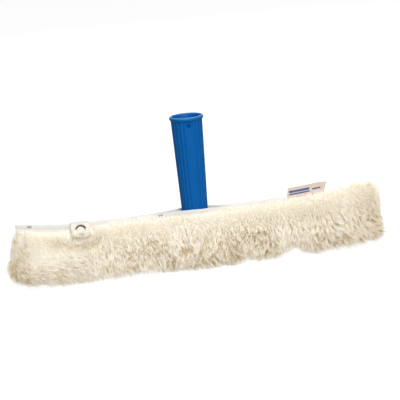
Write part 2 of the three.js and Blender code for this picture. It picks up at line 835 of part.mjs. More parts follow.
// Pieces about the tab tip's hinge line: local +Y points inwards and local +Z up the slope
function makeTabTipGroup() {
  const group = new THREE.Group();
  group.position.set(tabPlace, tipPivot, tabHeight);
  group.rotation.x = -tabSlope;
  const across = (profile, segments) => turned(profile, segments).rotateX(-Math.PI / 2).translate(0, 0, -studDrop);
  const stemHole = across([
    [0, -tabThickness],
    [capStemRadius + seatGap, -tabThickness],
    [capStemRadius + seatGap, tabThickness],
    [0, tabThickness],
  ], 14);
  const tip = cut(tabStrip(tabTipLength, tabTipCorner), stemHole);
  const capInner = -tabHalf - seatGap;
  const capEdge = capInner - capEdgeHeight;
  const capProfile = [[0, tabHalf], [capStemRadius, tabHalf], [capStemRadius, capInner], [capRadius, capInner]];
  const domeSteps = 4;
  for (let i = 0; i <= domeSteps; i += 1) {
    const angle = Math.PI / 2 * i / domeSteps;
    capProfile.push([capRadius * Math.cos(angle), capEdge - capDome * Math.sin(angle)]);
  }
  const socket = across([
    [0, socketTop],
    [socketRadius, socketTop],
    [socketRadius, socketMouth],
    [ballRadius + ballSwingRoom, socketMouth],
    [ballRadius + ballSwingRoom, socketMouth - socketDepth],
    [0, socketMouth - socketDepth],
  ], 24);
  capProfile[capProfile.length - 1][0] = 0;
  group.add(
    named("tab_tip", tip, tapeCloth),
    named("stud_cap", across(capProfile, 28), nickel),
    named("stud_socket", socket, nickel),
  );
  const flangeInner = flangeOuter + ballFlangeThickness;
  const ballTop = flangeOuter - ballHeight;
  const ballBelly = ballTop + ballHeight / 2;
  const plateOuter = patchInner + seatGap;
  const plateInner = plateOuter + backPlateThickness;
  const ball = across([
    [0, flangeInner],
    [ballFlangeRadius, flangeInner],
    [ballFlangeRadius, flangeOuter],
    [ballNeckRadius, flangeOuter],
    [ballRadius, ballBelly],
    [ballNeckRadius, ballTop],
    [0, ballTop],
  ], 24);
  const postHole = across([
    [0, patchOuter - overrun],
    [capStemRadius + seatGap, patchOuter - overrun],
    [capStemRadius + seatGap, patchInner + overrun],
    [0, patchInner + overrun],
  ], 14);
  const patchShape = roundedShape(patchWidth, patchLength, tabTipCorner);
  const patch = plate(patchShape, patchOuter, patchInner, 3);
  patch.translate(0, 0, -patchTopInset - patchLength / 2);
  const backPlate = across([
    [0, flangeInner + seatGap],
    [capStemRadius, flangeInner + seatGap],
    [capStemRadius, plateOuter],
    [backPlateRadius, plateOuter],
    [backPlateRadius, plateInner],
    [0, plateInner],
  ], 24);
  group.add(
    named("stud_ball", ball, nickel),
    named("stud_patch", cut(patch, postHole), tapeCloth),
    named("stud_back_plate", backPlate, nickel),
  );
  return group;
}

// Room in the fleece for the patch, the stud and the tab
function tabRecess() {
  const half = patchWidth / 2 + recessMargin;
  const low = -patchTopInset - patchLength - recessMargin;
  const outward = -sleeveHalfDepth;
  const face = box([-half, outward, low], [half, patchInner + seatGap, tabTipLength]);
  const backPlateRoom = rod(
    backPlateRadius + seatGap,
    patchInner,
    patchInner + seatGap + backPlateThickness + seatGap,
    20,
  );
  backPlateRoom.rotateX(-Math.PI / 2).translate(0, 0, -studDrop);
  const place = (geometry) => geometry.rotateX(-tabSlope).translate(tabPlace, tipPivot, tabHeight);
  const anchorHalf = tabWidth / 2 + seatGap;
  const anchorRoom = box(
    [tabPlace - anchorHalf, 0, tabHeight - tabAnchorDepth - tabThickness - seatGap],
    [tabPlace + anchorHalf, anchorMiddle + tabHalf + seatGap, tabHeight + tabAnchorDepth],
  );
  return [place(face), place(backPlateRoom), anchorRoom];
}

function makePileCover() {
  const tools = [
    hollow(barPlay + liningThickness + seatGap, coverHalfLength + overrun),
    slitCut(),
    seamGroove(),
    labelTrough(),
    ...tabRecess(),
  ];
  return named("pile_cover", cut(sleeveLoaf(), ...tools), fleece);
}

const washer = new THREE.Group();
washer.add(
  makeGrip(),
  makeCrossBar(),
  ...makeFasteners(),
  makePileCover(),
  makeEndGusset("left_end_gusset", -1, leftEndShares),
  makeEndGusset("right_end_gusset", 1, rightEndShares),
  makeLining(),
  makeHemTape("front_hem_tape", -1),
  makeHemTape("back_hem_tape", 1),
  makeSeamTape(),
  makeLabel(),
  makeTabAnchor(),
  makeTabBridge(),
  makeTabTipGroup(),
);

export default washer;
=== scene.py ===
import math

import bmesh
import bpy
import numpy as np
from mathutils import Matrix, Vector, noise
from mathutils.bvhtree import BVHTree


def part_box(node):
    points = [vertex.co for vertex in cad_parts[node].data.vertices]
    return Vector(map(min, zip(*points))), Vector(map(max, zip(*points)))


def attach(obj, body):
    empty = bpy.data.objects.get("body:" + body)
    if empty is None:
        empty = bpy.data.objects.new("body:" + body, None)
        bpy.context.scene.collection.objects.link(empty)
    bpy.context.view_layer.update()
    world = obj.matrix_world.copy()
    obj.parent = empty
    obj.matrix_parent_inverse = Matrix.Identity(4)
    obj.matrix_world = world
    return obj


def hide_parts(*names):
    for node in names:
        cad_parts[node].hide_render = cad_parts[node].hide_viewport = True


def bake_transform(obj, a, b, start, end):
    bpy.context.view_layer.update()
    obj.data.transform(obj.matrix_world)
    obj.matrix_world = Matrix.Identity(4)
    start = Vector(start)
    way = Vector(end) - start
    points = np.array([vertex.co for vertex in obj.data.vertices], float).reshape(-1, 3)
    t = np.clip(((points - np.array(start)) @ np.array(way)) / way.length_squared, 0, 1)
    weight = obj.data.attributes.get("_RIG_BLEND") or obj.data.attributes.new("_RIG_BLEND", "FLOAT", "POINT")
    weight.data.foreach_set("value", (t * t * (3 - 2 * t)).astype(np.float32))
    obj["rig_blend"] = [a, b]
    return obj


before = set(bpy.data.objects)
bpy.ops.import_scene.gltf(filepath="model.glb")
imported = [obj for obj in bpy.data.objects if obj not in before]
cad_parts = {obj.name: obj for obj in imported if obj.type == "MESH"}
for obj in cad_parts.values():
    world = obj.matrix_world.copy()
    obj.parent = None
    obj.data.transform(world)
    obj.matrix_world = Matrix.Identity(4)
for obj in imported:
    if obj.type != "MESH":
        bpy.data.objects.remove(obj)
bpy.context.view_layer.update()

MM = 0.001
UP = Vector((0, 0, 1))

# Camera: it looks at the washer from the front, a little from the left and above, and is tilted
CAMERA_DISTANCE = 1300 * MM
CAMERA_YAW = math.radians(-7.3)
CAMERA_ELEVATION = math.radians(13.4)
CAMERA_ROLL = math.radians(-5.4)
CAMERA_TARGET = Vector((5.8, 0, 66.8)) * MM
CAMERA_LENS = 121.05
CAMERA_SENSOR = 36

# Soft light of the room, and how much less of it comes from the two sides
ROOM_LIGHT = 0.54
SIDE_LOSS = 0.6

# Lamps with their place, width and power in watts
LAMPS = (("key_light", (0.1, -1.3, 1.5), 0.9, 16.6),
         ("back_light", (0.2, 1.5, 1.3), 1.2, 12),
         ("front_light", (0.2, -2.0, 0.9), 1.1, 15))

# Paper floor: its tone, its own glow, and the glow that the camera sees as white paper
FLOOR_HALF_WIDTH = 6000 * MM
FLOOR_TONE = 0.35
FLOOR_GLOW = 0.04
FLOOR_GLOW_SEEN = 0.78
FLOOR_GAP = 0.15 * MM

# Sleeve: its middle height, the seams of its end pieces, and the pile's depth on its backing
SLEEVE_MIDDLE = 30 * MM
COVER_HALF = 166 * MM
SEAM_HALF_GAP = 0.02 * MM
CAVITY_HALF_DEPTH = 7.3 * MM
CAVITY_HALF_HEIGHT = 18.9 * MM
CAVITY_HALF_LENGTH = 173.6 * MM
SLIT_FLOOR = 46.2 * MM
SLIT_TAPER = 6 * MM
SLIT_CLOSED = 0.1 * MM
SLIT_PROBE_OFFSET = 0.6 * MM
PILE_DEPTH = 6.5 * MM
PILE_DEPTH_AT_SLIT = 3 * MM
PILE_FULL_FROM_SLIT = math.radians(38)
PILE_LEAST = 0.8 * MM
PILE_SHORTEST = 1.6 * MM
WALL_LEAST = 1.3 * MM
PILE_ZONES = 8
FINE_PILE_ZONES = 3
STATION_STEP = 2.5 * MM
STATION_INSET = 0.4 * MM
COLUMNS = 84
PIT_ROWS = 13
END_MIDDLE_OFFSET = 0.7 * MM
END_LEANS = (0, 4, 8, 12, 17, 23, 30, 37, 44, 51, 58, 65, 71, 77, 82, 86)

# Rays that look for a surface: where they start, and how far they stay from a surface's ends
RAY_LONGEST = 90 * MM
RAY_OUTSIDE = 80 * MM
RAY_BESIDE = 40 * MM
RAY_ABOVE = 90 * MM
RAY_INSET = 0.5 * MM

# Underside: place along the sleeve, and how far the pile there lies above its lowest lumps
UNDERSIDE_LIFTS = [(x * MM, lift * MM) for x, lift in (
    (-190, -1), (-165, -1), (-130, 0.5), (-105, 2), (-78, 3), (-50, 4.5), (-35, 2.5), (-14, 1.5), (1, -0.5),
    (18, 0.5), (31, -0.5), (46, 4.5), (60, 1.5), (75, 2.5), (84, 5), (92, 8), (99, 7), (108, 3), (118, 2),
    (140, 2.5), (155, 1), (170, -2), (190, -2))]
UNDERSIDE_WAVE = 0.8 * MM

# Parting of the pile at the left: place along the sleeve, height, and how open it is there; the openness shortens
# the strands and also paints shade into them
LEFT_PARTING = [(x * MM, z * MM, depth) for x, z, depth in (
    (-161, 54, 0.1), (-156, 51.5, 0.7), (-151, 48, 0.65), (-145, 44, 0.4), (-138, 41, 0.3), (-130, 38, 0.15),
    (-122, 36, 0.3), (-112, 35, 0.2), (-100, 38, 0.05), (-90, 45, 0), (-80, 53, 0))]
PARTING_WIDTH = 1.8 * MM
RAISED_BELOW = 1 * MM
RAISED_ABOVE = 4 * MM

# Small spots where it is parted: place, height, width, and how open; the openness pushes the strands apart and
# also paints shade into them
PARTED_SPOTS = [(x * MM, z * MM, width * MM, depth) for x, z, width, depth in (
    (-14.5, 23, 3.5, 1), (7, 31, 3.5, 0.5), (-47, 33, 3, 0.3), (45, 26, 3, 0.2), (104, 16, 3, 0.3))]

# Strands per square metre and the segments of each: at the fine left, elsewhere, and on the tab
FINE_PILE = (2.3e6, 2)
LONG_PILE = (1.9e6, 3)
TAB_PILE = (4e6, 3)

# Spans along the sleeve over which the pile's looks change
SMOOTH_TO_SHAGGY = (-140 * MM, -40 * MM)
SHAGGIER_RIGHT = (60 * MM, 120 * MM)
BRUSHED_FROM = (-190 * MM, -150 * MM)
BRUSHED_UNTIL = (-125 * MM, -95 * MM)
# Where along the sleeve the top of the pile begins and stops being painted paler: painted light along the top
PAINTED_LIGHT_FROM = (-100 * MM, -50 * MM)
PAINTED_LIGHT_UNTIL = (135 * MM, COVER_HALF)
LEANING_ENDS = (110 * MM, COVER_HALF)
END_FACE_TURN = 9 * MM
# How far in from the end seams, and how far past them, the pile is painted darker: painted shade on the ends
END_SHADE_INSET = {-1: 6 * MM, 1: 35 * MM}
END_SHADE_PAST = 14 * MM
SEAM_WOOL_WIDTH = 3.5 * MM
# Width of the painted shade along the right end's seam
SEAM_SHADE_WIDTH = 2.5 * MM
BRUSHED_OVER = (44 * MM, 50 * MM)
HEM_WOOL_SPAN = (1 * MM, 5 * MM)

# Hems of the slit: tape folded in two
LAYER_GAP = 0.12 * MM
HEM_THICKNESS = 1.4 * MM
HEM_DEPTH = 8.8 * MM
HEM_PROBE_HEIGHT = 57.5 * MM
HEM_CLEARANCE = 0.3 * MM
HEM_STITCH_HEIGHT = 5.6 * MM
HEM_STITCH_PITCH = 3.1 * MM
HEM_STITCH_MARGIN = 2 * MM
SEAM_TAPE_PROBE_HEIGHT = 53 * MM
SEAM_STITCH_DROP = 3 * MM
SEWN_DRAW = 0.22 * MM
SEWN_WIDTH = 0.8 * MM

# How uneven cloth lies, and how uneven the tapes are
CLOTH_WAVE = 0.12 * MM
SEAM_TAPE_WAVE = 0.06 * MM
HEM_TOP_WAVE = 0.3 * MM
HEM_SIDE_WAVE = 0.08 * MM

# Thread: stitches of the hems, and the two bar tacks with their places
STITCH_LENGTH = 2.4 * MM
STITCH_SUNK = 0.1 * MM
TACK_RAISED = 0.05 * MM
THREAD_RADIUS = 0.22 * MM
TACK_STITCHES = 10
TACK_PITCH = 0.42 * MM
TACK_LENGTH = 2.6 * MM
TACK_THREAD_RADIUS = 0.2 * MM
TACK_DROP = 1.5 * MM
LEFT_TACK_INSET = 13 * MM
MIDDLE_TACK_PLACE = -34 * MM

# Lining, to the middle of its wall, and the width that it is cut to
LINING_HALF_DEPTH = 6.5 * MM
LINING_HALF_HEIGHT = 18 * MM
LINING_HALF_LENGTH = 173.1 * MM
LINING_THICKNESS = 0.8 * MM
LINING_SQUARENESS = 8

# Grip, as in the frame
GRIP_SIDES = 288
GRIP_FOOT_RADIUS = 12.4 * MM
GRIP_HEAD_RADIUS = 15.2 * MM
GRIP_EDGE = 0.4 * MM
RIM_RADIUS = 16.3 * MM
RIM_HEIGHT = 4.2 * MM
LIP_HEIGHT = 149.3 * MM
LIP_FLAT = 0.9 * MM
LIP_EDGE = 0.5 * MM
# Depth below the top over which the lip is painted paler, a painted highlight
LIP_HIGHLIGHT_DEPTH = 1.2 * MM
MOUTH_WALL = 2.2 * MM
MOUTH_TAPER = 3 * MM
BORE_WALL = 1.9 * MM
BORE_FOOT_WALL = 2.3 * MM
GRIP_SOCKET_RADIUS = 9 * MM
GRIP_SOCKET_HEIGHT = 13 * MM
GRIP_FLOOR = 3 * MM
SCREW_HOLE_RADIUS = 2.8 * MM
FLUTES = 9
FLUTE_DEPTH = 0.6 * MM
FLUTE_LAND_SHARE = 0.35
FLUTE_RUNOUT = 0.5 * MM
PANEL_HALF_ANGLE = math.radians(18)
PANEL_EDGE_ANGLE = math.radians(2.5)
PANEL_DEPTH = 0.7 * MM
FIXING_HOLE_SIDES = 48
FIXING_HOLE_RADIUS = 1.8 * MM
FIXING_HOLE_DROP = 8.3 * MM
FIXING_HOLE_CHAMFER = 0.6 * MM
DRILL_OVERRUN = 3 * MM

# Closing tab and its press stud
TAB_PLACE = -112 * MM
TAB_HALF_WIDTH = 9 * MM
TAB_THICKNESS = 1 * MM
TAB_SLOPE = math.radians(35)
TAB_TIP_LENGTH = 14 * MM
TAB_CORNER = 4 * MM
TAB_BEND_RADIUS = 1.6 * MM
TAB_BEND_REACH = 1.8 * MM
STRIP_STEP = 0.8 * MM
STRIP_EDGE = 0.6 * MM
STUD_SIDES = 64
STUD_DROP = 7 * MM
STUD_RADIUS = 5.2 * MM
STUD_BEAD = 0.62 * MM
STUD_BEAD_GAP = 0.1 * MM
STUD_FACE_OVERLAP = 0.1 * MM
STUD_FACE_BEVEL = 0.15 * MM
STUD_SEAT = TAB_THICKNESS / 2 + 0.3 * MM
PATCH_HALF_WIDTH = 10 * MM
PATCH_TOP = 1.5 * MM
PATCH_LENGTH = 12.5 * MM
PATCH_THICKNESS = 0.8 * MM
PATCH_MIDDLE_DEPTH = 4 * MM
PATCH_LOW = 45.5 * MM

# Pile beside the tab: the heights and the distances over which it changes, its extra room, and
# the tuft under the patch
TAB_WOOL_HEIGHTS = (PATCH_LOW - 10 * MM, PATCH_LOW - 3 * MM)
TAB_WOOL_SIDES = (TAB_HALF_WIDTH + 1 * MM, TAB_HALF_WIDTH + 8 * MM)
TAB_WOOL_ROOM = (4 * MM, 9 * MM)
PATCH_MARGIN = 0.2 * MM
TUFT_MARGIN = 0.5 * MM
TUFT_HEIGHT = PATCH_LOW - 1.5 * MM
TUFT_WIDTH = 2.5 * MM

# Pile on the tab's tip: its first and last row, its margins, its foot, its reach, and the way
# from its surface into the tab
TIP_WOOL_ROWS = (1.2 * MM, TAB_TIP_LENGTH - 0.1 * MM)
TIP_WOOL_SIDE_MARGIN = 0.1 * MM
TIP_WOOL_STUD_MARGIN = 0.25 * MM
TIP_WOOL_FOOT = (TAB_TIP_LENGTH - 1.2 * MM, TAB_TIP_LENGTH - 0.2 * MM)
TIP_WOOL_REACH = (1.8 * MM, 5.4 * MM)
TAB_INWARDS = Vector((0, 10, -7)) * MM

# Label
LABEL_LENGTH = 37.5 * MM
LABEL_HEIGHT = 10.3 * MM
LABEL_THICKNESS = 0.8 * MM
LABEL_SHEAR = 2.6 * MM
LABEL_FLARE = 1.2 * MM
LABEL_CURL = 0.9 * MM
LABEL_END_CURL = 1.1 * MM
LABEL_END_SAG = 0.5 * MM
LABEL_END_LIFT = 0.3 * MM
LABEL_BEND = (0.2 * MM, 3.5 * MM)

# Blue bands of the label as shares of its height and length: low, high, left and right
LABEL_BANDS = ((0.28, 0.42, 0.08, 0.62), (0.5, 0.72, 0.08, 0.62), (0.42, 0.56, 0.7, 0.92))


# Helpers for numbers and meshes

def smooth_step(low, high, value):
    share = min(1.0, max(0.0, (value - low) / (high - low)))
    return share * share * (3 - 2 * share)


def bump_at(value, place, width):
    """1 at the place, and less further from it."""
    return math.exp(-((value - place) / width) ** 2)


def mix(a, b, share):
    return a + (b - a) * share


def evenly(start, end, count):
    """Values from start to end in this many equal steps."""
    return [mix(start, end, i / count) for i in range(count + 1)]


def wobble(x, y, z, size):
    """Smooth unevenness of cloth, from -1 to 1, that changes over this length."""
    return noise.noise(Vector((x, y, z)) / size)


def add_object(name, data):
    made = bpy.data.objects.new(name, data)
    bpy.context.scene.collection.objects.link(made)
    return made


def new_piece(name, points, faces):
    mesh = bpy.data.meshes.new(name)
    mesh.from_pydata([tuple(p) for p in points], [], [tuple(f) for f in faces])
    mesh.validate()
    mesh.update()
    mesh.shade_smooth()
    return add_object(name, mesh)


def closed_piece(name, points, faces, merge=0.01 * MM):
    """A solid: its doubles are merged and all its faces turned outwards."""
    piece = new_piece(name, points, faces)
    shape = bmesh.new()
    shape.from_mesh(piece.data)
    bmesh.ops.remove_doubles(shape, verts=shape.verts, dist=merge)
    bmesh.ops.dissolve_degenerate(shape, edges=shape.edges, dist=merge / 10)
    bmesh.ops.recalc_face_normals(shape, faces=shape.faces)
    if shape.calc_volume(signed=True) < 0:
        bmesh.ops.reverse_faces(shape, faces=shape.faces)
    shape.to_mesh(piece.data)
    shape.free()
    return piece


def grid_faces(rows, columns, ring_rows=False, ring_columns=False, start=0):
    """Faces between rows of points; as a ring, the last row or column is joined to the first."""
    faces = []
    for row in range(rows if ring_rows else rows - 1):
        below = (row + 1) % rows
        for column in range(columns if ring_columns else columns - 1):
            beside = (column + 1) % columns
            corners = (row, column), (row, beside), (below, beside), (below, column)
            faces.append([start + r * columns + c for r, c in corners])
    return faces


def turned_piece(name, outline, sides, place, ring, merge=0.01 * MM):
    """A solid turned round an axis; place gives the point for a spot of the outline and an angle."""
    points = []
    for spot in outline:
        for side in range(sides):
            points.append(place(*spot, 2 * math.pi * side / sides))
    return closed_piece(name, points, grid_faces(len(outline), sides, ring, True), merge)


def settle(piece):
    """Applies the piece's modifiers, and leaves a plain mesh."""
    bpy.context.view_layer.update()
    graph = bpy.context.evaluated_depsgraph_get()
    mesh = bpy.data.meshes.new_from_object(
        piece.evaluated_get(graph), preserve_all_data_layers=True, depsgraph=graph)
    piece.modifiers.clear()
    old = piece.data
    piece.data = mesh
    mesh.name = piece.name
    bpy.data.meshes.remove(old)
    return piece


def cad_surface(*nodes):
    points, faces = [], []
    for node in nodes:
        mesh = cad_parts[node].data
        start = len(points)
        points += [v.co.copy() for v in mesh.vertices]
        faces += [[start + i for i in p.vertices] for p in mesh.polygons]
    return BVHTree.FromPolygons(points, faces)


def first_hit(surface, start, towards):
    """Where a ray from start towards a point first meets the surface, or None."""
    return surface.ray_cast(start, (towards - start).normalized(), RAY_LONGEST)[0]


def top_at(surface, x, y):
    """How high the surface's top is at a place."""
    return first_hit(surface, Vector((x, y, RAY_ABOVE)), Vector((x, y, 0))).z


def face_beside(surface, x, side, height):
    """How far from the sleeve's middle plane the surface is at one side, or None."""
    hit = first_hit(surface, Vector((x, side * RAY_BESIDE, height)), Vector((x, 0, height)))
    return abs(hit.y) if hit else None


def well_inside(low, high, value):
    """The nearest value at which a ray can't miss the ends of a surface."""
    return min(high - RAY_INSET, max(low + RAY_INSET, value))


def ride_on(piece, body, replaces=()):
    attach(piece, body)
    if replaces:
        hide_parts(*replaces)
    return piece


# Helpers for node trees

class Field:
    """A value in a node tree; each sum or product with it adds a node to the tree."""

    def __init__(self, graph, socket):
        self.graph = graph
        self.socket = socket

    def __add__(self, other):
        return self.graph.math("ADD", self, other)

    def __mul__(self, other):
        return self.graph.math("MULTIPLY", self, other)

    def __sub__(self, other):
        return self.graph.math("SUBTRACT", self, other)

    def __rsub__(self, other):
        return self.graph.math("SUBTRACT", other, self)

    def __truediv__(self, other):
        return self.graph.math("DIVIDE", self, other)

    def __rtruediv__(self, other):
        return self.graph.math("DIVIDE", other, self)

    def clamped(self):
        """The same value, kept from 0 to 1."""
        self.socket.node.use_clamp = True
        return self


class Graph:
    """Adds nodes to a tree and links them; an input can be a field or a plain value."""

    def __init__(self, tree):
        self.tree = tree

    def put(self, socket, value):
        if isinstance(value, Field):
            self.tree.links.new(value.socket, socket)
        elif socket.type == "RGBA" and len(value) == 3:
            socket.default_value = (*value, 1)
        else:
            socket.default_value = value

    def node(self, kind, inputs=None, **settings):
        """A new node; an input is named, or numbered where several share a name."""
        made = self.tree.nodes.new(kind)
        for name, value in settings.items():
            setattr(made, name, value)
        for name, value in (inputs or {}).items():
            in_use = [socket for socket in made.inputs if socket.enabled and socket.name == name]
            self.put(in_use[0] if in_use else made.inputs[name], value)
        return made

    def outputs(self, kind, inputs=None, **settings):
        """The outputs of a new node by name."""
        made = self.node(kind, inputs, **settings)
        return {socket.name: Field(self, socket) for socket in made.outputs if socket.enabled}

    def get(self, kind, output, inputs=None, **settings):
        """One output of a new node."""
        return Field(self, self.node(kind, inputs, **settings).outputs[output])

    def math(self, operation, *values):
        """Calculates with numbers, or with vectors where the first value is one."""
        first, inputs = values[0], dict(enumerate(values))
        if not isinstance(first, Field) or first.socket.type not in ("VECTOR", "RGBA"):
            return self.get("ShaderNodeMath", 0, inputs, operation=operation)
        if operation == "MULTIPLY":
            inputs = {0: first, "Scale": values[1]}
            return self.get("ShaderNodeVectorMath", "Vector", inputs, operation="SCALE")
        output = "Value" if operation == "DOT_PRODUCT" else "Vector"
        return self.get("ShaderNodeVectorMath", output, inputs, operation=operation)

    def join(self, x=0.0, y=0.0, z=0.0):
        return self.get("ShaderNodeCombineXYZ", 0, {"X": x, "Y": y, "Z": z})

    def split(self, vector):
        made = self.node("ShaderNodeSeparateXYZ", {0: vector})
        return [Field(self, socket) for socket in made.outputs]

    def ramp(self, value, *stops):
        made = self.node("ShaderNodeValToRGB", {"Fac": value})
        elements = made.color_ramp.elements
        while len(elements) < len(stops):
            elements.new(0.5)
        for element, (place, colour) in zip(elements, stops):
            element.position = place
            element.color = (*colour, 1)
        return Field(self, made.outputs["Color"])

    def blend(self, share, first, second, mode="MIX"):
        colour_inputs = {0: share, 6: first, 7: second}
        return self.get("ShaderNodeMix", 2, colour_inputs, data_type="RGBA", blend_type=mode)

    def noise(self, vector, scale, detail=2.0, roughness=0.5, output="Fac"):
        return self.get("ShaderNodeTexNoise", output, {
            "Vector": vector, "Scale": scale, "Detail": detail, "Roughness": roughness})

    def drift(self, vector, scale, detail, amount):
        """Noise that leads off in all directions."""
        return (self.noise(vector, scale, detail, output="Color") - (0.5, 0.5, 0.5)) * amount

    def random(self, low, high, seed):
        return self.outputs("FunctionNodeRandomValue", {"Min": low, "Max": high, "Seed": seed},
                            data_type="FLOAT")["Value"]

    def group(self, tree, **values):
        inputs = {label.replace("_", " "): value for label, value in values.items()}
        return self.outputs("ShaderNodeGroup", inputs, node_tree=tree)

    def bump(self, height, strength, distance):
        return self.get("ShaderNodeBump", "Normal", {
            "Height": height, "Strength": strength, "Distance": distance})


SOCKET_KINDS = {float: "Float", int: "Int", tuple: "Color"}


def new_group(name, kind, inputs, outputs):
    """An empty node group with its graph, its inputs as fields, and its outputs. An input is given
    as its usual value or, if it has none, as the name of its kind."""
    tree = bpy.data.node_groups.new(name, kind)
    for label, value in inputs.items():
        socket_kind = value if isinstance(value, str) else SOCKET_KINDS[type(value)]
        socket = tree.interface.new_socket(
            name=label, in_out="INPUT", socket_type="NodeSocket" + socket_kind)
        if not isinstance(value, str):
            socket.default_value = value
    for label, socket_kind in outputs.items():
        tree.interface.new_socket(name=label, in_out="OUTPUT", socket_type="NodeSocket" + socket_kind)
    graph = Graph(tree)
    return tree, graph, graph.outputs("NodeGroupInput"), graph.node("NodeGroupOutput").inputs


def use_tree(piece, tree, **values):
    """Puts a geometry tree on the piece, sets its named inputs, and applies it."""
    modifier = piece.modifiers.new(tree.name, "NODES")
    modifier.node_group = tree
    identifiers = {item.name: item.identifier for item in tree.interface.items_tree
                   if item.in_out == "INPUT"}
    for name, value in values.items():
        modifier[identifiers[name.replace("_", " ")]] = value
    return settle(piece)


def srgb(red, green, blue):
    """Linear colour from the 0 to 255 values that a screen shows."""
    def linear(value):
        share = value / 255
        return share / 12.92 if share <= 0.04045 else ((share + 0.055) / 1.055) ** 2.4
    return (linear(red), linear(green), linear(blue))


WHITE = (1.0, 1.0, 1.0)


# Camera, light and floor

def make_camera():
    level = math.cos(CAMERA_ELEVATION)
    back = Vector((math.sin(CAMERA_YAW) * level, -math.cos(CAMERA_YAW) * level, math.sin(CAMERA_ELEVATION)))
    right = (-back).cross(UP).normalized()
    above = right.cross(-back)
    turned_right = right * math.cos(CAMERA_ROLL) + above * math.sin(CAMERA_ROLL)
    turned_up = above * math.cos(CAMERA_ROLL) - right * math.sin(CAMERA_ROLL)
    data = bpy.data.cameras.new("photo_camera")
    data.lens = CAMERA_LENS
    data.sensor_width = CAMERA_SENSOR
    data.clip_start = 10 * MM
    camera = add_object("photo_camera", data)
    matrix = Matrix((turned_right, turned_up, back)).transposed().to_4x4()
    matrix.translation = CAMERA_TARGET + back * CAMERA_DISTANCE
    camera.matrix_world = matrix
    bpy.context.scene.camera = camera


def make_lamp(name, place, width, power):
    data = bpy.data.lights.new(name, "AREA")
    data.shape = "DISK"
    data.size = width
    data.energy = power
    lamp = add_object(name, data)
    lamp.location = place
    lamp.rotation_euler = (CAMERA_TARGET - Vector(place)).to_track_quat("-Z", "Y").to_euler()


def make_studio():
    world = bpy.data.worlds.new("studio")
    world.use_nodes = True
    graph = Graph(world.node_tree)
    background = world.node_tree.nodes["Background"].inputs
    graph.put(background["Color"], WHITE)
    seen = graph.get("ShaderNodeLightPath", "Is Camera Ray")
    sideways = graph.split(graph.get("ShaderNodeTexCoord", "Generated"))[0]
    light = ROOM_LIGHT - sideways * sideways * SIDE_LOSS
    graph.put(background["Strength"], graph.math("MAXIMUM", seen, light))
    bpy.context.scene.world = world
    bpy.context.scene.view_settings.view_transform = "Standard"
    for lamp in LAMPS:
        make_lamp(*lamp)
    corners = ((-1, -1), (1, -1), (1, 1), (-1, 1))
    floor = new_piece("studio_floor", [(x * FLOOR_HALF_WIDTH, y * FLOOR_HALF_WIDTH, 0) for x, y in corners],
                      [(0, 1, 2, 3)])
    material, graph, surface, _ = new_material("floor_paper", Roughness=0.9, Specular_IOR_Level=0.1)
    graph.put(surface["Base Color"], (FLOOR_TONE, FLOOR_TONE, FLOOR_TONE))
    graph.put(surface["Emission Color"], WHITE)
    seen = graph.get("ShaderNodeLightPath", "Is Camera Ray")
    graph.put(surface["Emission Strength"], seen * FLOOR_GLOW_SEEN + FLOOR_GLOW)
    floor.data.materials.append(material)


# Effects that several materials share

def make_weave_group():
    """Plain weave: threads over and under each other, as a height and a tone."""
    tree, graph, given, result = new_group(
        "Plain Weave", "ShaderNodeTree", {"Vector": "Vector", "Thread Pitch": 0.5 * MM},
        {"Height": "Float", "Shade": "Float"})

    def wave(value):
        return graph.math("SINE", value)

    x, y, z = graph.split(given["Vector"] * (math.pi / given["Thread Pitch"]))
    warp = graph.math("ABSOLUTE", wave(x))
    weft = graph.math("ABSOLUTE", wave(y + z))
    side = graph.math("GREATER_THAN", wave(x * 0.5) * wave((y + z) * 0.5), 0.0)
    height = warp * side + weft * (1 - side)
    graph.put(result["Height"], height)
    graph.put(result["Shade"], height * graph.noise(given["Vector"], 260.0, 3.0))
    return tree


def make_mottle_group():
    """Slow change between two colours, such as dirt, fading or wear."""
    tree, graph, given, result = new_group("Mottle", "ShaderNodeTree", {
        "Vector": "Vector", "First": (1, 1, 1, 1), "Second": (0.5, 0.5, 0.5, 1), "Scale": 40.0,
        "Contrast": 2.0}, {"Color": "Color", "Mask": "Float"})
    spots = graph.noise(given["Vector"], given["Scale"], 4.0, 0.6)
    mask = ((spots - 0.5) * given["Contrast"] + 0.5).clamped()
    graph.put(result["Mask"], mask)
    graph.put(result["Color"], graph.blend(mask, given["First"], given["Second"]))
    return tree


def make_grain_group():
    """Fine uneven surface of a moulded or worn part, as a height."""
    tree, graph, given, result = new_group(
        "Fine Grain", "ShaderNodeTree", {"Vector": "Vector", "Scale": 900.0}, {"Height": "Float"})
    fine = graph.noise(given["Vector"], given["Scale"])
    coarse = graph.noise(given["Vector"], given["Scale"] * 0.12)
    graph.put(result["Height"], fine + coarse * 1.5)
    return tree


WEAVE = make_weave_group()
MOTTLE = make_mottle_group()
GRAIN = make_grain_group()


# Materials

def new_material(name, **constants):
    """A material with its graph, its shader's inputs, and the place on the object as a field."""
    material = bpy.data.materials.new(name)
    material.use_nodes = True
    graph = Graph(material.node_tree)
    shader = material.node_tree.nodes["Principled BSDF"]
    for label, value in constants.items():
        shader.inputs[label.replace("_", " ")].default_value = value
    return material, graph, shader.inputs, graph.get("ShaderNodeTexCoord", "Object")


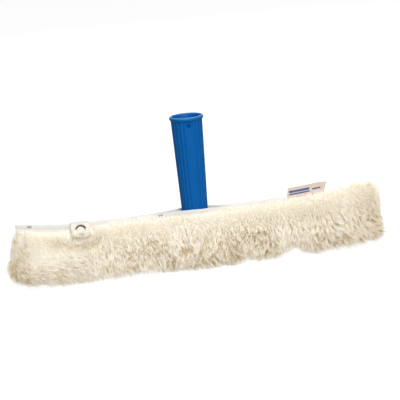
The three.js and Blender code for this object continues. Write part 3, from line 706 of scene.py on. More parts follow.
def make_plastic(name, light, dark, roughness, gloss=0.4, lip=None):
    """Plastic with fine scuffs; above the height of its lip, if it has one, it is painted paler, a painted
    highlight along the lip.
    """
    material, graph, surface, place = new_material(name, IOR=1.5, Specular_IOR_Level=gloss)
    body = graph.group(MOTTLE, Vector=place, First=light, Second=dark, Scale=55.0, Contrast=1.4)["Color"]
    if lip:
        # Painted highlight: the top of the lip is blended towards a pale blue.
        worn = ((graph.split(place)[2] - lip) / LIP_HIGHLIGHT_DEPTH).clamped()
        body = graph.blend(worn * 0.6, body, srgb(98, 164, 226))
    graph.put(surface["Base Color"], body)
    scuffs = graph.group(MOTTLE, Vector=place, Scale=240.0, Contrast=2.5)["Mask"]
    graph.put(surface["Roughness"], scuffs * 0.16 + roughness)
    height = graph.group(GRAIN, Vector=place, Scale=1100.0)["Height"]
    graph.put(surface["Normal"], graph.bump(height, 0.25, 0.05 * MM))
    return material


def make_metal(name, colour, roughness):
    material, graph, surface, place = new_material(name, Metallic=1.0)
    dull = tuple(channel * 0.72 for channel in colour)
    tarnish = graph.group(MOTTLE, Vector=place, First=colour, Second=dull, Scale=320.0, Contrast=1.8)
    graph.put(surface["Base Color"], tarnish["Color"])
    graph.put(surface["Roughness"], tarnish["Mask"] * 0.2 + roughness)
    height = graph.group(GRAIN, Vector=place, Scale=2400.0)["Height"]
    graph.put(surface["Normal"], graph.bump(height, 0.15, 0.02 * MM))
    return material


def make_cloth(name, light, dark, pitch):
    """Woven cloth of threads this far apart."""
    material, graph, surface, place = new_material(
        name, Roughness=0.88, Sheen_Weight=0.12, Sheen_Roughness=0.5, Specular_IOR_Level=0.2)
    weave = graph.group(WEAVE, Vector=place, Thread_Pitch=pitch)
    stain = graph.group(MOTTLE, Vector=place, First=light, Second=dark, Scale=70.0, Contrast=1.6)["Color"]
    thread = (weave["Shade"] * 0.16 + 0.9).clamped()
    graph.put(surface["Base Color"], graph.blend(1.0, stain, graph.join(thread, thread, thread), "MULTIPLY"))
    graph.put(surface["Normal"], graph.bump(weave["Height"], 0.6, 0.12 * MM))
    return material


def make_pile_material(name, root, middle, tip, shade):
    """Pile strand: U of its UV map is 1 at the tips and falls with the depth below them, and V is
    the strand's own tone. As U falls the colour turns to the golden root colour: partly the wool's
    own root colour, partly painted shade deep in the pile. Its faint glow stands for the light that
    passes through the wool."""
    material, graph, surface, _ = new_material(
        name, Roughness=0.95, Specular_IOR_Level=0.1, Emission_Strength=0.15)
    along, tone, _ = graph.split(graph.get("ShaderNodeUVMap", "UV", uv_map="OFBake"))
    length = graph.ramp(along, (0.0, root), (0.4, middle), (0.92, tip))
    strands = graph.ramp(tone, (0.0, shade), (0.4, (0.97, 0.96, 0.93)), (1.0, WHITE))
    wool = graph.blend(1.0, length, strands, "MULTIPLY")
    graph.put(surface["Base Color"], wool)
    graph.put(surface["Emission Color"], wool)
    return material


def make_backing_material(name, light, dark):
    material, graph, surface, place = new_material(name, Roughness=0.95, Specular_IOR_Level=0.1)
    wool = graph.group(MOTTLE, Vector=place, First=light, Second=dark, Scale=180.0, Contrast=2.2)["Color"]
    graph.put(surface["Base Color"], wool)
    height = graph.group(GRAIN, Vector=place, Scale=700.0)["Height"]
    graph.put(surface["Normal"], graph.bump(height, 0.8, 0.5 * MM))
    return material


def make_label_material():
    """Cream label with plain blue woven bands; U of its UV map runs along it and V up it."""
    material, graph, surface, place = new_material(
        "label_cloth", Roughness=0.8, Sheen_Weight=0.1, Specular_IOR_Level=0.25)
    along, height, _ = graph.split(graph.get("ShaderNodeUVMap", "UV", uv_map="OFBake"))
    weave = graph.group(WEAVE, Vector=place, Thread_Pitch=0.3 * MM)
    stain = graph.group(MOTTLE, Vector=place, First=srgb(233, 216, 203), Second=srgb(222, 201, 186),
                        Scale=90.0, Contrast=1.6)["Color"]

    def between(value, low, high):
        return graph.math("GREATER_THAN", value, low) * graph.math("LESS_THAN", value, high)

    bands = 0.0
    for low, high, left, right in LABEL_BANDS:
        bands = graph.math("MAXIMUM", bands, between(height, low, high) * between(along, left, right))
    worn = bands * (weave["Shade"] + 0.62).clamped()
    graph.put(surface["Base Color"], graph.blend(worn, stain, srgb(38, 84, 148)))
    graph.put(surface["Normal"], graph.bump(weave["Height"], 0.6, 0.08 * MM))
    return material


BLUE_PLASTIC = make_plastic("blue_plastic", srgb(0, 100, 175), srgb(0, 90, 163), 0.36, 0.14, LIP_HEIGHT)
BAR_PLASTIC = make_plastic("bar_plastic", srgb(58, 64, 68), srgb(44, 49, 53), 0.5)
# The stud face's pale colour is a painted reflection of white surroundings in nickel.
STUD_FACE_REFLECTION = make_plastic("stud_enamel", srgb(240, 236, 226), srgb(226, 220, 206), 0.3)
NICKEL = make_metal("nickel", srgb(158, 155, 148), 0.3)
# The stud rim's dark metal colour is painted shade.
RIM_SHADE_NICKEL = make_metal("dark_nickel", srgb(92, 88, 80), 0.3)
STEEL = make_metal("steel", srgb(168, 171, 174), 0.32)
TAPE_CLOTH = make_cloth("white_tape", srgb(250, 248, 243), srgb(243, 240, 232), 0.55 * MM)
LINING_CLOTH = make_cloth("lining_cloth", srgb(232, 224, 206), srgb(216, 206, 184), 0.7 * MM)
TACK_THREAD = make_cloth("tack_thread", srgb(172, 166, 150), srgb(140, 134, 120), 0.25 * MM)
THREAD = make_cloth("sewing_thread", srgb(236, 231, 220), srgb(214, 206, 190), 0.25 * MM)
PILE = make_pile_material("fleece_pile", srgb(204, 184, 136), srgb(249, 245, 236), srgb(252, 249, 243),
                          srgb(244, 240, 233))
PILE_BACKING = make_backing_material("fleece_backing", srgb(242, 238, 228), srgb(232, 224, 206))
LABEL_CLOTH = make_label_material()


# Grip

def flute_depth(angle):
    """How deep the hollow is at an angle round the grip, from the middle of the front panel."""
    turn = angle % math.pi
    from_panel = min(turn, math.pi - turn)
    if from_panel < PANEL_HALF_ANGLE:
        edge = smooth_step(PANEL_HALF_ANGLE - PANEL_EDGE_ANGLE, PANEL_HALF_ANGLE, from_panel)
        return PANEL_DEPTH * (1 - edge)
    span = (math.pi - 2 * PANEL_HALF_ANGLE) / FLUTES
    place = ((turn - PANEL_HALF_ANGLE) / span) % 1
    if place < FLUTE_LAND_SHARE:
        return 0
    return FLUTE_DEPTH * math.sin(math.pi * (place - FLUTE_LAND_SHARE) / (1 - FLUTE_LAND_SHARE))


def grip_profile(bottom, top):
    """Radius, height and share of the flutes' depth, from the foot up the outside, down the bore,
    and round the socket for the bar; and the function for the outside's radius."""
    def outer(height):
        return mix(GRIP_FOOT_RADIUS, GRIP_HEAD_RADIUS, (height - bottom) / (top - bottom))

    rim_foot = top - RIM_HEIGHT
    flute_top = rim_foot - FLUTE_RUNOUT
    bevel = GRIP_EDGE * 0.3
    profile = [(outer(bottom) - GRIP_EDGE, bottom, 1), (outer(bottom) - bevel, bottom + bevel, 1)]
    profile += [(outer(height), height, 1) for height in evenly(bottom + GRIP_EDGE, flute_top, 24)]
    profile += [(outer(height), height, 1 - smooth_step(flute_top, rim_foot, height))
                for height in evenly(flute_top, rim_foot, 5)[1:]]
    neck = outer(rim_foot)
    bead_low = rim_foot + 0.1 * RIM_HEIGHT
    bead_half = (top - bead_low) / 2
    mouth = RIM_RADIUS - MOUTH_WALL
    lip = mouth + LIP_FLAT
    for angle in evenly(0, math.pi, 16)[1:]:
        base = neck if angle < math.pi / 2 else lip
        out = math.sin(angle) ** 0.8
        profile.append((mix(base, RIM_RADIUS, out), bead_low + bead_half * (1 - math.cos(angle)), 0))
    for angle in evenly(0, math.pi / 2, 4)[1:]:
        profile.append((mix(lip, mouth, math.sin(angle)), top - LIP_EDGE * (1 - math.cos(angle)), 0))
    bore_top = top - MOUTH_TAPER
    socket_top = bottom + GRIP_SOCKET_HEIGHT
    floor = socket_top + GRIP_FLOOR
    radii = evenly(outer(bore_top) - BORE_WALL, outer(floor) - BORE_FOOT_WALL, 6)
    profile += [(radius, height, 0) for radius, height in zip(radii, evenly(bore_top, floor, 6))]
    profile += [(SCREW_HOLE_RADIUS, floor, 0), (SCREW_HOLE_RADIUS, socket_top, 0),
                (GRIP_SOCKET_RADIUS, socket_top, 0), (GRIP_SOCKET_RADIUS, bottom, 0)]
    return profile, outer


def make_grip():
    low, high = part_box("grip")
    profile, outer = grip_profile(low.z, high.z)

    def on_grip(radius, height, share, angle):
        reach = radius - flute_depth(angle) * share
        return (reach * math.sin(angle), -reach * math.cos(angle), height)

    grip = turned_piece("hand_grip", profile, GRIP_SIDES, on_grip, True)
    hole_height = high.z - FIXING_HOLE_DROP
    face = outer(hole_height) - PANEL_DEPTH
    reach = face + DRILL_OVERRUN
    wide = FIXING_HOLE_RADIUS + FIXING_HOLE_CHAMFER + DRILL_OVERRUN
    chamfer_end = face - FIXING_HOLE_CHAMFER
    drill = [(0, -reach), (wide, -reach), (FIXING_HOLE_RADIUS, -chamfer_end),
             (FIXING_HOLE_RADIUS, chamfer_end), (wide, reach), (0, reach)]

    def on_drill(radius, depth, angle):
        return (radius * math.cos(angle), depth, hole_height + radius * math.sin(angle))

    cutter = turned_piece("fixing_hole_drill", drill, FIXING_HOLE_SIDES, on_drill, False)
    modifier = grip.modifiers.new("fixing_hole", "BOOLEAN")
    modifier.object = cutter
    modifier.operation = "DIFFERENCE"
    modifier.solver = "EXACT"
    settle(grip)
    bpy.data.objects.remove(cutter)
    grip.data.set_sharp_from_angle(angle=math.radians(40))
    grip.data.materials.append(BLUE_PLASTIC)
    ride_on(grip, "washer", ["grip"])


# Fleece: where its surface is, from the frame

FLEECE = cad_surface("pile_cover", "left_end_gusset", "right_end_gusset")
HEMS = {1: cad_surface("back_hem_tape"), -1: cad_surface("front_hem_tape")}
SEAM_TAPE = cad_surface("pocket_seam_tape")
HEM_LEFT, HEM_RIGHT = (corner.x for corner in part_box("back_hem_tape"))


def hem_face(x, side=1):
    """How far a hem's outer face is from the sleeve's middle plane."""
    return face_beside(HEMS[side], well_inside(HEM_LEFT, HEM_RIGHT, x), side, HEM_PROBE_HEIGHT)


def slit_edge(x):
    """Half width of the opening in the fleece."""
    if x < HEM_RIGHT:
        return hem_face(x) + HEM_CLEARANCE
    seam = face_beside(SEAM_TAPE, x, 1, SEAM_TAPE_PROBE_HEIGHT) or SLIT_CLOSED
    joined = smooth_step(HEM_RIGHT, HEM_RIGHT + SLIT_TAPER, x)
    return mix(hem_face(HEM_RIGHT), seam, joined) + HEM_CLEARANCE


def surface_distance(middle, direction):
    """How far the fleece's outside is from a point in the sleeve, in a direction."""
    return (first_hit(FLEECE, middle + direction * RAY_OUTSIDE, middle) - middle).length


def closed_along(values, window):
    """Fills pits narrower than the window, along the first axis."""
    half = window // 2
    for pick in (np.max, np.min):
        padded = np.pad(values, ((half, half), (0, 0)), mode="edge")
        values = pick(np.stack([padded[i:i + len(values)] for i in range(2 * half + 1)]), axis=0)
    return values


def soften(values, rounds):
    for _ in range(rounds):
        padded = np.pad(values, ((1, 1), (1, 1)), mode="edge")
        values = (padded[:-2, 1:-1] + padded[2:, 1:-1] + padded[1:-1, :-2] + padded[1:-1, 2:]
                  + 4 * padded[1:-1, 1:-1]) / 8
    return values


def underside_lift(x):
    """How far the worn underside lies above the lowest lumps of the pile, along the sleeve."""
    places, lifts = zip(*UNDERSIDE_LIFTS)
    return float(np.interp(x, places, lifts)) + UNDERSIDE_WAVE * wobble(x, 0, 0, 11 * MM)


def hollow_distance(angle):
    """How far the hollow's wall is from the sleeve's middle, at an angle from straight up."""
    sine, cosine = abs(math.sin(angle)), abs(math.cos(angle))
    return min(CAVITY_HALF_DEPTH / max(sine, 1e-6), CAVITY_HALF_HEIGHT / max(cosine, 1e-6))


class Panel:
    """One panel of the sleeve: rows along it and columns from the back edge of the slit, round
    the underside, to its front edge."""

    def __init__(self, middles, leans, edge_angles, opened, pit_rows):
        self.rows = len(middles)
        self.opened = opened
        self.middles = middles
        self.angles = np.array([evenly(edge, 2 * math.pi - edge, COLUMNS - 1) for edge in edge_angles])
        self.directions = []
        cad = np.zeros((self.rows, COLUMNS))
        for row, lean in enumerate(leans):
            self.directions.append([
                Vector((math.sin(lean), math.cos(lean) * math.sin(angle), math.cos(lean) * math.cos(angle)))
                for angle in self.angles[row]])
            for column, direction in enumerate(self.directions[row]):
                nudge = {0: 0.02, COLUMNS - 1: -0.02}.get(column)
                probe = (direction + Vector((0, nudge, 0))).normalized() if nudge else direction
                cad[row, column] = surface_distance(middles[row], probe)
        envelope = soften(closed_along(cad, pit_rows) if pit_rows else cad, 3)
        self.depth = np.zeros((self.rows, COLUMNS))
        for row, column in self.cells():
            from_slit = self.from_top(row, column) - self.angles[row, 0]
            full = smooth_step(0, PILE_FULL_FROM_SLIT, from_slit)
            self.depth[row, column] = mix(PILE_DEPTH_AT_SLIT, PILE_DEPTH, full)
        self.root = np.minimum(envelope - self.depth, cad - PILE_LEAST)
        self.reach = np.maximum(cad - self.root, PILE_LEAST)
        self.lift_underside()

    def cells(self):
        return [(row, column) for row in range(self.rows) for column in range(COLUMNS)]

    def from_top(self, row, column):
        angle = self.angles[row, column]
        return min(angle, 2 * math.pi - angle)

    def lift_underside(self):
        """Thins the pile under the sleeve where it is worn, and draws its backing in there."""
        for row, column in self.cells():
            under = smooth_step(math.radians(95), math.radians(150), self.from_top(row, column))
            old = self.root[row, column]
            x = self.middles[row].x + self.directions[row][column].x * old
            lift = underside_lift(x) * under
            inner = hollow_distance(self.angles[row, column]) + WALL_LEAST
            root = max(old - 0.6 * lift, min(old, inner))
            self.reach[row, column] = max(old + self.reach[row, column] - lift - root, PILE_LEAST)
            self.root[row, column] = root

    def outer_points(self):
        return [[self.middles[row] + self.directions[row][column] * self.root[row, column]
                 for column in range(COLUMNS)] for row in range(self.rows)]

    def inner_points(self):
        """Hollow for the lining and the bar, with upright walls at the slit."""
        lines = []
        rows = zip(self.middles, self.outer_points(), self.angles, self.opened)
        for middle, outer, angles, is_open in rows:
            line = []
            for point, angle in zip(outer, angles):
                distance = hollow_distance(angle)
                x = math.copysign(min(abs(point.x), CAVITY_HALF_LENGTH), point.x)
                line.append(Vector((x, distance * math.sin(angle), middle.z + distance * math.cos(angle))))
            for column in (0, -1) if is_open else ():
                y = outer[column].y
                height = SLIT_FLOOR if abs(y) > CAVITY_HALF_DEPTH else middle.z + CAVITY_HALF_HEIGHT
                line[column] = Vector((line[column].x, y, height))
            lines.append(line)
        return lines


def cover_panel():
    count = round(2 * (COVER_HALF - SEAM_HALF_GAP) / STATION_STEP)
    places = evenly(-COVER_HALF + STATION_INSET, COVER_HALF - STATION_INSET, count)
    edge_angles = []
    for x in places:
        edge = slit_edge(x)
        top = top_at(FLEECE, x, edge + SLIT_PROBE_OFFSET)
        edge_angles.append(math.atan2(edge, top - SLEEVE_MIDDLE))
    middles = [Vector((x, 0, SLEEVE_MIDDLE)) for x in places]
    panel = Panel(middles, [0.0] * len(places), edge_angles, [True] * len(places), PIT_ROWS)
    panel.middles[0].x = SEAM_HALF_GAP - COVER_HALF
    panel.middles[-1].x = COVER_HALF - SEAM_HALF_GAP
    return panel


def end_panel(side):
    leans = [side * math.radians(angle) for angle in END_LEANS]
    middle = Vector((side * (COVER_HALF + END_MIDDLE_OFFSET), 0, SLEEVE_MIDDLE))
    edge_angles, opened = [], []
    for lean in leans:
        top = surface_distance(middle, Vector((math.sin(lean), 0.15, math.cos(lean))).normalized())
        x = middle.x + top * math.sin(lean)
        is_open = side < 0 and x > HEM_LEFT
        edge_angles.append(math.atan2(slit_edge(x), top * math.cos(lean)) if is_open else 0.0)
        opened.append(is_open)
    panel = Panel([middle.copy() for _ in leans], leans, edge_angles, opened, 0)
    panel.middles[0].x = side * (COVER_HALF + SEAM_HALF_GAP)
    return panel


def wall_piece(name, panel, is_end):
    """Closed wall between the panel's outside and its hollow; at an end its last row closes it."""
    points = []
    for layer in (panel.outer_points(), panel.inner_points()):
        for line, is_open in zip(layer, panel.opened):
            if not is_open:
                middle = (line[0] + line[-1]) / 2
                middle.y = 0
                line[0] = line[-1] = middle
            points += line
    last = panel.rows - 1
    size = panel.rows * COLUMNS
    faces = grid_faces(panel.rows, COLUMNS)
    faces += [face[:1] + face[:0:-1] for face in grid_faces(panel.rows, COLUMNS, start=size)]

    def join(a, b):
        faces.append((a, b, size + b, size + a))

    for row in range(last):
        if panel.opened[row] or panel.opened[row + 1]:
            for column in (0, COLUMNS - 1):
                join(row * COLUMNS + column, (row + 1) * COLUMNS + column)
    for row in [0] if is_end else [0, last]:
        for column in range(COLUMNS - 1):
            join(row * COLUMNS + column, row * COLUMNS + column + 1)
    if is_end:
        for start in (0, size):
            faces.append(range(start + last * COLUMNS, start + panel.rows * COLUMNS - 1))
    piece = closed_piece(name, points, faces, 0.02 * MM)
    piece.data.materials.append(PILE_BACKING)
    return piece


# Pile: strands rooted on the backing

def make_strand_tree():
    """Strands of the pile. The surface they grow on carries: reach, how high they stand; lean,
    which way they lie; cover, how dense they are; curl, how much they clump; and the painted
    shading, painted shade that turns them towards their golden root colour, and painted light
    where it is below zero."""
    tree, graph, given, result = new_group("Pile Strands", "GeometryNodeTree", {
        "Surface": "Geometry", "Density": 1.7e6, "Seed": 1, "Strand Radius": 0.29 * MM, "Segments": 3,
        "Clump Size": 4.5 * MM, "Clump Pull": 0.5, "Wave": 2.2 * MM, "Full Depth": 8 * MM,
        "Material": "Material"}, {"Strands": "Geometry"})

    def stored(name, kind="FLOAT"):
        return graph.get("GeometryNodeInputNamedAttribute", "Attribute", {"Name": name}, data_type=kind)

    def store(geometry, name, value, kind="FLOAT", domain="POINT"):
        return graph.get("GeometryNodeStoreNamedAttribute", "Geometry",
                         {"Geometry": geometry, "Name": name, "Value": value}, data_type=kind, domain=domain)

    def random(low, high, offset):
        return graph.random(low, high, given["Seed"] + offset)

    spread = graph.outputs("GeometryNodeDistributePointsOnFaces", {
        "Mesh": given["Surface"], "Seed": given["Seed"], "Density": stored("cover") * given["Density"]},
        distribute_method="RANDOM")
    place = graph.get("GeometryNodeInputPosition", 0)
    points = store(spread["Points"], "root", place, "FLOAT_VECTOR")
    points = store(points, "out", spread["Normal"], "FLOAT_VECTOR")
    cells = graph.outputs("ShaderNodeTexVoronoi", {
        "Vector": place + graph.drift(place, 260.0, 1.0, 2.5 * MM), "Scale": 1.0 / given["Clump Size"]})
    points = store(points, "clump", cells["Position"], "FLOAT_VECTOR")
    cell_tone = graph.split(cells["Color"])[0]
    tone = cell_tone * 0.35 + random(0.0, 1.0, 11) * 0.35 + graph.noise(place, 42.0) * 0.45
    points = store(points, "tone", tone.clamped())
    uneven = random(0.72, 1.12, 23) * (cell_tone * (stored("curl") * 0.35) + 0.85)
    points = store(points, "length", stored("reach") * 1.3 * uneven)

    cone = graph.get("GeometryNodeMeshCone", "Mesh", {
        "Vertices": 3, "Side Segments": given["Segments"], "Fill Segments": 1, "Radius Top": 0.0,
        "Radius Bottom": 1.0, "Depth": 1.0})
    strand = store(cone, "along", graph.split(place)[2])
    upright = graph.get("FunctionNodeAlignRotationToVector", 0, {"Vector": stored("out", "FLOAT_VECTOR")},
                        axis="Z")
    spin = graph.join(z=random(0.0, 2 * math.pi, 37))
    turned = graph.get("FunctionNodeRotateRotation", 0, {"Rotation": upright, "Rotate By": spin},
                       rotation_space="LOCAL")
    width = given["Strand Radius"] * random(0.7, 1.3, 41)
    placed = graph.get("GeometryNodeInstanceOnPoints", 0, {
        "Points": points, "Instance": strand, "Rotation": turned,
        "Scale": graph.join(width, width, stored("length"))})
    real = graph.get("GeometryNodeRealizeInstances", 0, {"Geometry": placed})

    along = stored("along")
    curl = stored("curl")
    reach = stored("length")
    root = stored("root", "FLOAT_VECTOR")
    out = stored("out", "FLOAT_VECTOR")
    across = place - (root + out * (reach * along))
    messy = (graph.drift(root, 62.0, 2.0, 1.8) + graph.drift(root, 330.0, 1.0, 1.4)) * (curl + 0.25)
    lean = stored("lean", "FLOAT_VECTOR") + messy
    heading = graph.math("NORMALIZE", out + lean * graph.math("POWER", along, 0.8))
    to_clump = stored("clump", "FLOAT_VECTOR") - root
    to_clump = to_clump - out * graph.math("DOT_PRODUCT", to_clump, out)
    pull = to_clump * (graph.math("POWER", along, 1.4) * (given["Clump Pull"] * curl))
    sway = graph.drift(root * 420.0 + graph.join(z=along * 1.6), 1.0, 1.0, given["Wave"] * (along * curl))
    bent = root + heading * (reach * along) + (pull + sway) + across
    x, y, z = graph.split(bent)
    on_floor = graph.join(x, y, graph.math("MAXIMUM", z, FLOOR_GAP))
    shaped = graph.get("GeometryNodeSetPosition", 0, {"Geometry": real, "Position": on_floor})
    # U falls with the depth below the pile's tips, so deep strands turn golden: partly the wool's own root
    # colour, partly painted shade. The surface's painted shading value moves U down as painted shade, and up as
    # painted light where it is below zero.
    light = 1.0 - (1.0 - along) * reach / given["Full Depth"]
    light = (light - stored("sunk") * 0.75).clamped()
    marked = store(shaped, "OFBake", graph.join(light, stored("tone")), "FLOAT2", "CORNER")
    graph.put(result["Strands"], graph.get(
        "GeometryNodeSetMaterial", 0, {"Geometry": marked, "Material": given["Material"]}))
    return tree


STRANDS = make_strand_tree()


def put_values(mesh, name, kind, values):
    attribute = mesh.attributes.new(name, kind, "POINT")
    field = "vector" if kind == "FLOAT_VECTOR" else "value"
    attribute.data.foreach_set(field, np.asarray(values, np.float32).ravel())


def plant(name, grid, looks, seed, strands, inside):
    """Strands on a grid of points; looks says how they grow at each point, and inside is a
    function that gives a point behind the surface."""
    piece = new_piece(name, [point for line in grid for point in line], grid_faces(len(grid), len(grid[0])))
    if sum(p.normal.dot(p.center - inside(p.center)) for p in piece.data.polygons) < 0:
        piece.data.flip_normals()
    flat = [look for line in looks for look in line]
    for label in ("reach", "cover", "curl", "sunk"):
        put_values(piece.data, label, "FLOAT", [look[label] for look in flat])
    put_values(piece.data, "lean", "FLOAT_VECTOR", [tuple(look["lean"]) for look in flat])
    density, segments = strands
    use_tree(piece, STRANDS, Seed=seed, Density=density, Segments=segments, Material=PILE)
    keep = {"position", "OFBake", "material_index", "sharp_face"}
    for label in [attribute.name for attribute in piece.data.attributes]:
        if label not in keep and not label.startswith("."):
            piece.data.attributes.remove(piece.data.attributes[label])
    return piece


def grow_pile(name, panel, rows, seed, strands=LONG_PILE):
    """Strands on some rows of a panel."""
    outer = panel.outer_points()
    looks = []
    for row in rows:
        line = []
        for column in range(COLUMNS):
            look = pile_style(outer[row][column], panel.angles[row, column])
            available = max(float(panel.reach[row, column]), look["room"])
            full = panel.depth[row, column] * 1.15 + look["room"]
            look["reach"] = min(available, full) * look["length"]
            look["cover"] = 1.0 if available > PILE_SHORTEST else 0.0
            line.append(look)
        looks.append(line)
    return plant(name, [outer[row] for row in rows], looks, seed, strands,
                 lambda centre: Vector((centre.x, 0, SLEEVE_MIDDLE)))


def parting(x, z):
    """How open the pile is at a place on the front, which also sets its painted shade there, how far
    it is brushed up there instead of down, and which way it is pushed from the middles of the small
    spots."""
    places, heights, depths = zip(*LEFT_PARTING)
    height = float(np.interp(x, places, heights))
    sunk = float(np.interp(x, places, depths)) * bump_at(z, height, PARTING_WIDTH)
    inside = smooth_step(places[0], places[1], x) * (1 - smooth_step(places[-2], places[-1], x))
    raised = inside * smooth_step(height - RAISED_BELOW, height + RAISED_ABOVE, z)
    push = Vector((0, 0, 0))
    for place, height, width, strength in PARTED_SPOTS:
        away = Vector((x - place, 0, z - height))
        sunk = max(sunk, strength * bump_at(away.length, 0, width))
        push += away.normalized() * (0.7 * strength * bump_at(away.length, width, width))
    return sunk, raised, push


def beside_tab(x, z):
    """How near a place on the front is to the tab, and the extra room for its strands there."""
    beside = abs(x - TAB_PLACE)
    high = smooth_step(*TAB_WOOL_HEIGHTS, z)
    near = (1 - smooth_step(*TAB_WOOL_SIDES, beside)) * high
    clear = max(smooth_step(PATCH_HALF_WIDTH - PATCH_MARGIN, PATCH_HALF_WIDTH + PATCH_MARGIN, beside),
                1 - smooth_step(PATCH_LOW - TUFT_MARGIN, PATCH_LOW, z))
    tuft = bump_at(z, TUFT_HEIGHT, TUFT_WIDTH)
    return near, mix(*TAB_WOOL_ROOM, tuft) * near * clear


def pile_style(point, angle):
    """Smooth and short along the top and at the left end, longer and tangled further down, and
    brushed over the edges of the hems, the tab and the top seam. Its painted shading darkens the
    pile lower down, at the ends, in the partings, along the right seam and round the tab, and
    lightens it along the top and at most hem edges as painted light."""
    x, z = point.x, point.z
    side = 1 if x > 0 else -1
    front = angle > math.pi
    down = Vector((0, math.cos(angle), -math.sin(angle))) * (-1 if front else 1)
    down = mix(down, -UP, smooth_step(COVER_HALF, COVER_HALF + END_FACE_TURN, abs(x)))
    degrees = math.degrees(min(angle, 2 * math.pi - angle))
    near_top = 1 - smooth_step(20, 95, degrees)
    low = smooth_step(50, 125, degrees)
    under = smooth_step(120, 175, degrees)
    shaggy = mix(0.12, 1.0, smooth_step(*SMOOTH_TO_SHAGGY, x)) * (1 - 0.75 * near_top)
    shaggy = max(shaggy, 0.55 * low, 0.35 * smooth_step(*SHAGGIER_RIGHT, x))
    lean = down * mix(mix(0.6, 1.2, near_top), 0.1, under)
    lean.x += 0.35 * smooth_step(*LEANING_ENDS, abs(x))
    brushed = smooth_step(*BRUSHED_FROM, x) * (1 - smooth_step(*BRUSHED_UNTIL, x))
    brushed *= smooth_step(45, 75, degrees) * (1 - 0.7 * under)
    lean = mix(lean, Vector((1.3, 0, -0.25)), 0.75 * brushed)
    length = 0.9 + 0.25 * shaggy
    length *= 1 - (0.3 if side > 0 else -0.15) * bump_at(abs(x), COVER_HALF, SEAM_WOOL_WIDTH)
    if x > COVER_HALF:
        length *= 1 - 0.25 * low
    # Painted shade: the pile turns golden and darker lower down the sleeve.
    sunk = 0.28 * smooth_step(80, 140, degrees)
    # Painted shade: the pile turns golden and darker towards both ends.
    at_end = smooth_step(COVER_HALF - END_SHADE_INSET[side], COVER_HALF + END_SHADE_PAST, abs(x))
    sunk = max(sunk, 0.45 * at_end)
    # Painted light: the top of the pile is turned paler over the middle of the sleeve.
    sunk -= 0.3 * near_top * smooth_step(*PAINTED_LIGHT_FROM, x) * (1 - smooth_step(*PAINTED_LIGHT_UNTIL, x))
    if front:
        parted, raised, push = parting(x, z)
        # The partings are really shorter; their colour, and that of the pile brushed up, is also turned golden as
        # painted shade.
        length *= 1 - 0.6 * parted
        sunk = max(sunk, parted, 0.3 * raised)
        lean = mix(lean, Vector((0.25, 0, 0)) - down * 0.45, raised) + push
        # Painted shade along the right end's seam, below the top.
        if side > 0:
            sunk = max(sunk, 0.6 * bump_at(x, COVER_HALF, SEAM_SHADE_WIDTH) * (1 - near_top))
    from_hem = abs(point.y) - slit_edge(max(HEM_LEFT, x))
    at_edge = (1 - smooth_step(*HEM_WOOL_SPAN, from_hem)) * smooth_step(*BRUSHED_OVER, z)
    lean -= down * 1.7 * at_edge
    # Painted light on the pile at the hem edges, paler from the middle rightwards, and a slight painted shade at
    # the left.
    sunk -= mix(-0.1, 0.4, smooth_step(*PAINTED_LIGHT_FROM, x)) * at_edge
    length *= 1 + 0.35 * at_edge
    if x > HEM_RIGHT:
        length *= 1 + 0.5 * at_edge
    room = 0
    if front and z > SLEEVE_MIDDLE:
        near, room = beside_tab(x, z)
        lean = mix(lean, Vector((0.2 * math.copysign(1, TAB_PLACE - x), 0, 0)) - down * 1.1, near)
        # Painted shade: round the tab the pile is turned darker and more golden.
        sunk = mix(sunk, 0.35, near)
    return {"length": length, "lean": lean, "curl": shaggy, "room": room, "sunk": sunk}


def make_sleeve():
    cover = cover_panel()
    backing = wall_piece("fleece_cover_backing", cover, False)
    ride_on(backing, "washer", ["pile_cover"])
    limits = [round(i * (cover.rows - 1) / PILE_ZONES) for i in range(PILE_ZONES + 1)]
    for zone in range(PILE_ZONES):
        rows = range(limits[zone], limits[zone + 1] + 1)
        strands = FINE_PILE if zone < FINE_PILE_ZONES else LONG_PILE
        pile = grow_pile(f"fleece_pile_{zone + 1}", cover, rows, 100 + zone, strands)
        ride_on(pile, "washer")
    for side, label in ((-1, "left"), (1, "right")):
        panel = end_panel(side)
        end_backing = wall_piece(f"{label}_end_backing", panel, True)
        ride_on(end_backing, "washer", [f"{label}_end_gusset"])
        pile = grow_pile(f"{label}_end_pile", panel, range(panel.rows), 200 + side)
        ride_on(pile, "washer")


# Cloth strips

def cloth_loft(name, sections, material):
    """Closed solid through a row of closed sections with equally many points."""
    count = len(sections[0])
    faces = grid_faces(len(sections), count, False, True)
    for start in (0, (len(sections) - 1) * count):
        for i in range(count // 2 - 1):
            faces.append((start + i, start + i + 1, start + count - 2 - i, start + count - 1 - i))
    piece = closed_piece(name, [p for section in sections for p in section], faces, 0.001 * MM)
    piece.data.materials.append(material)
    return piece


def folded_tape(bottom, top, half, sewn):
    """Section of a tape folded in two, with its fold at the top, and drawn in where it is sewn."""
    layers = []
    for width, drawn in ((half, SEWN_DRAW), (LAYER_GAP / 2, 0)):
        heights = evenly(bottom, top - half, 8)[:-1]
        layer = [(width - drawn * bump_at(height, sewn, SEWN_WIDTH), height) for height in heights]
        layer += [(width * math.cos(angle), top - half + width * math.sin(angle))
                  for angle in evenly(0, math.pi, 6)]
        layer += [(-width, height) for height in reversed(heights)]
        layers.append(layer)
    return layers[0] + layers[1][::-1]


# Lining: a woven tube between the bar and the fleece, slit as the fleece is

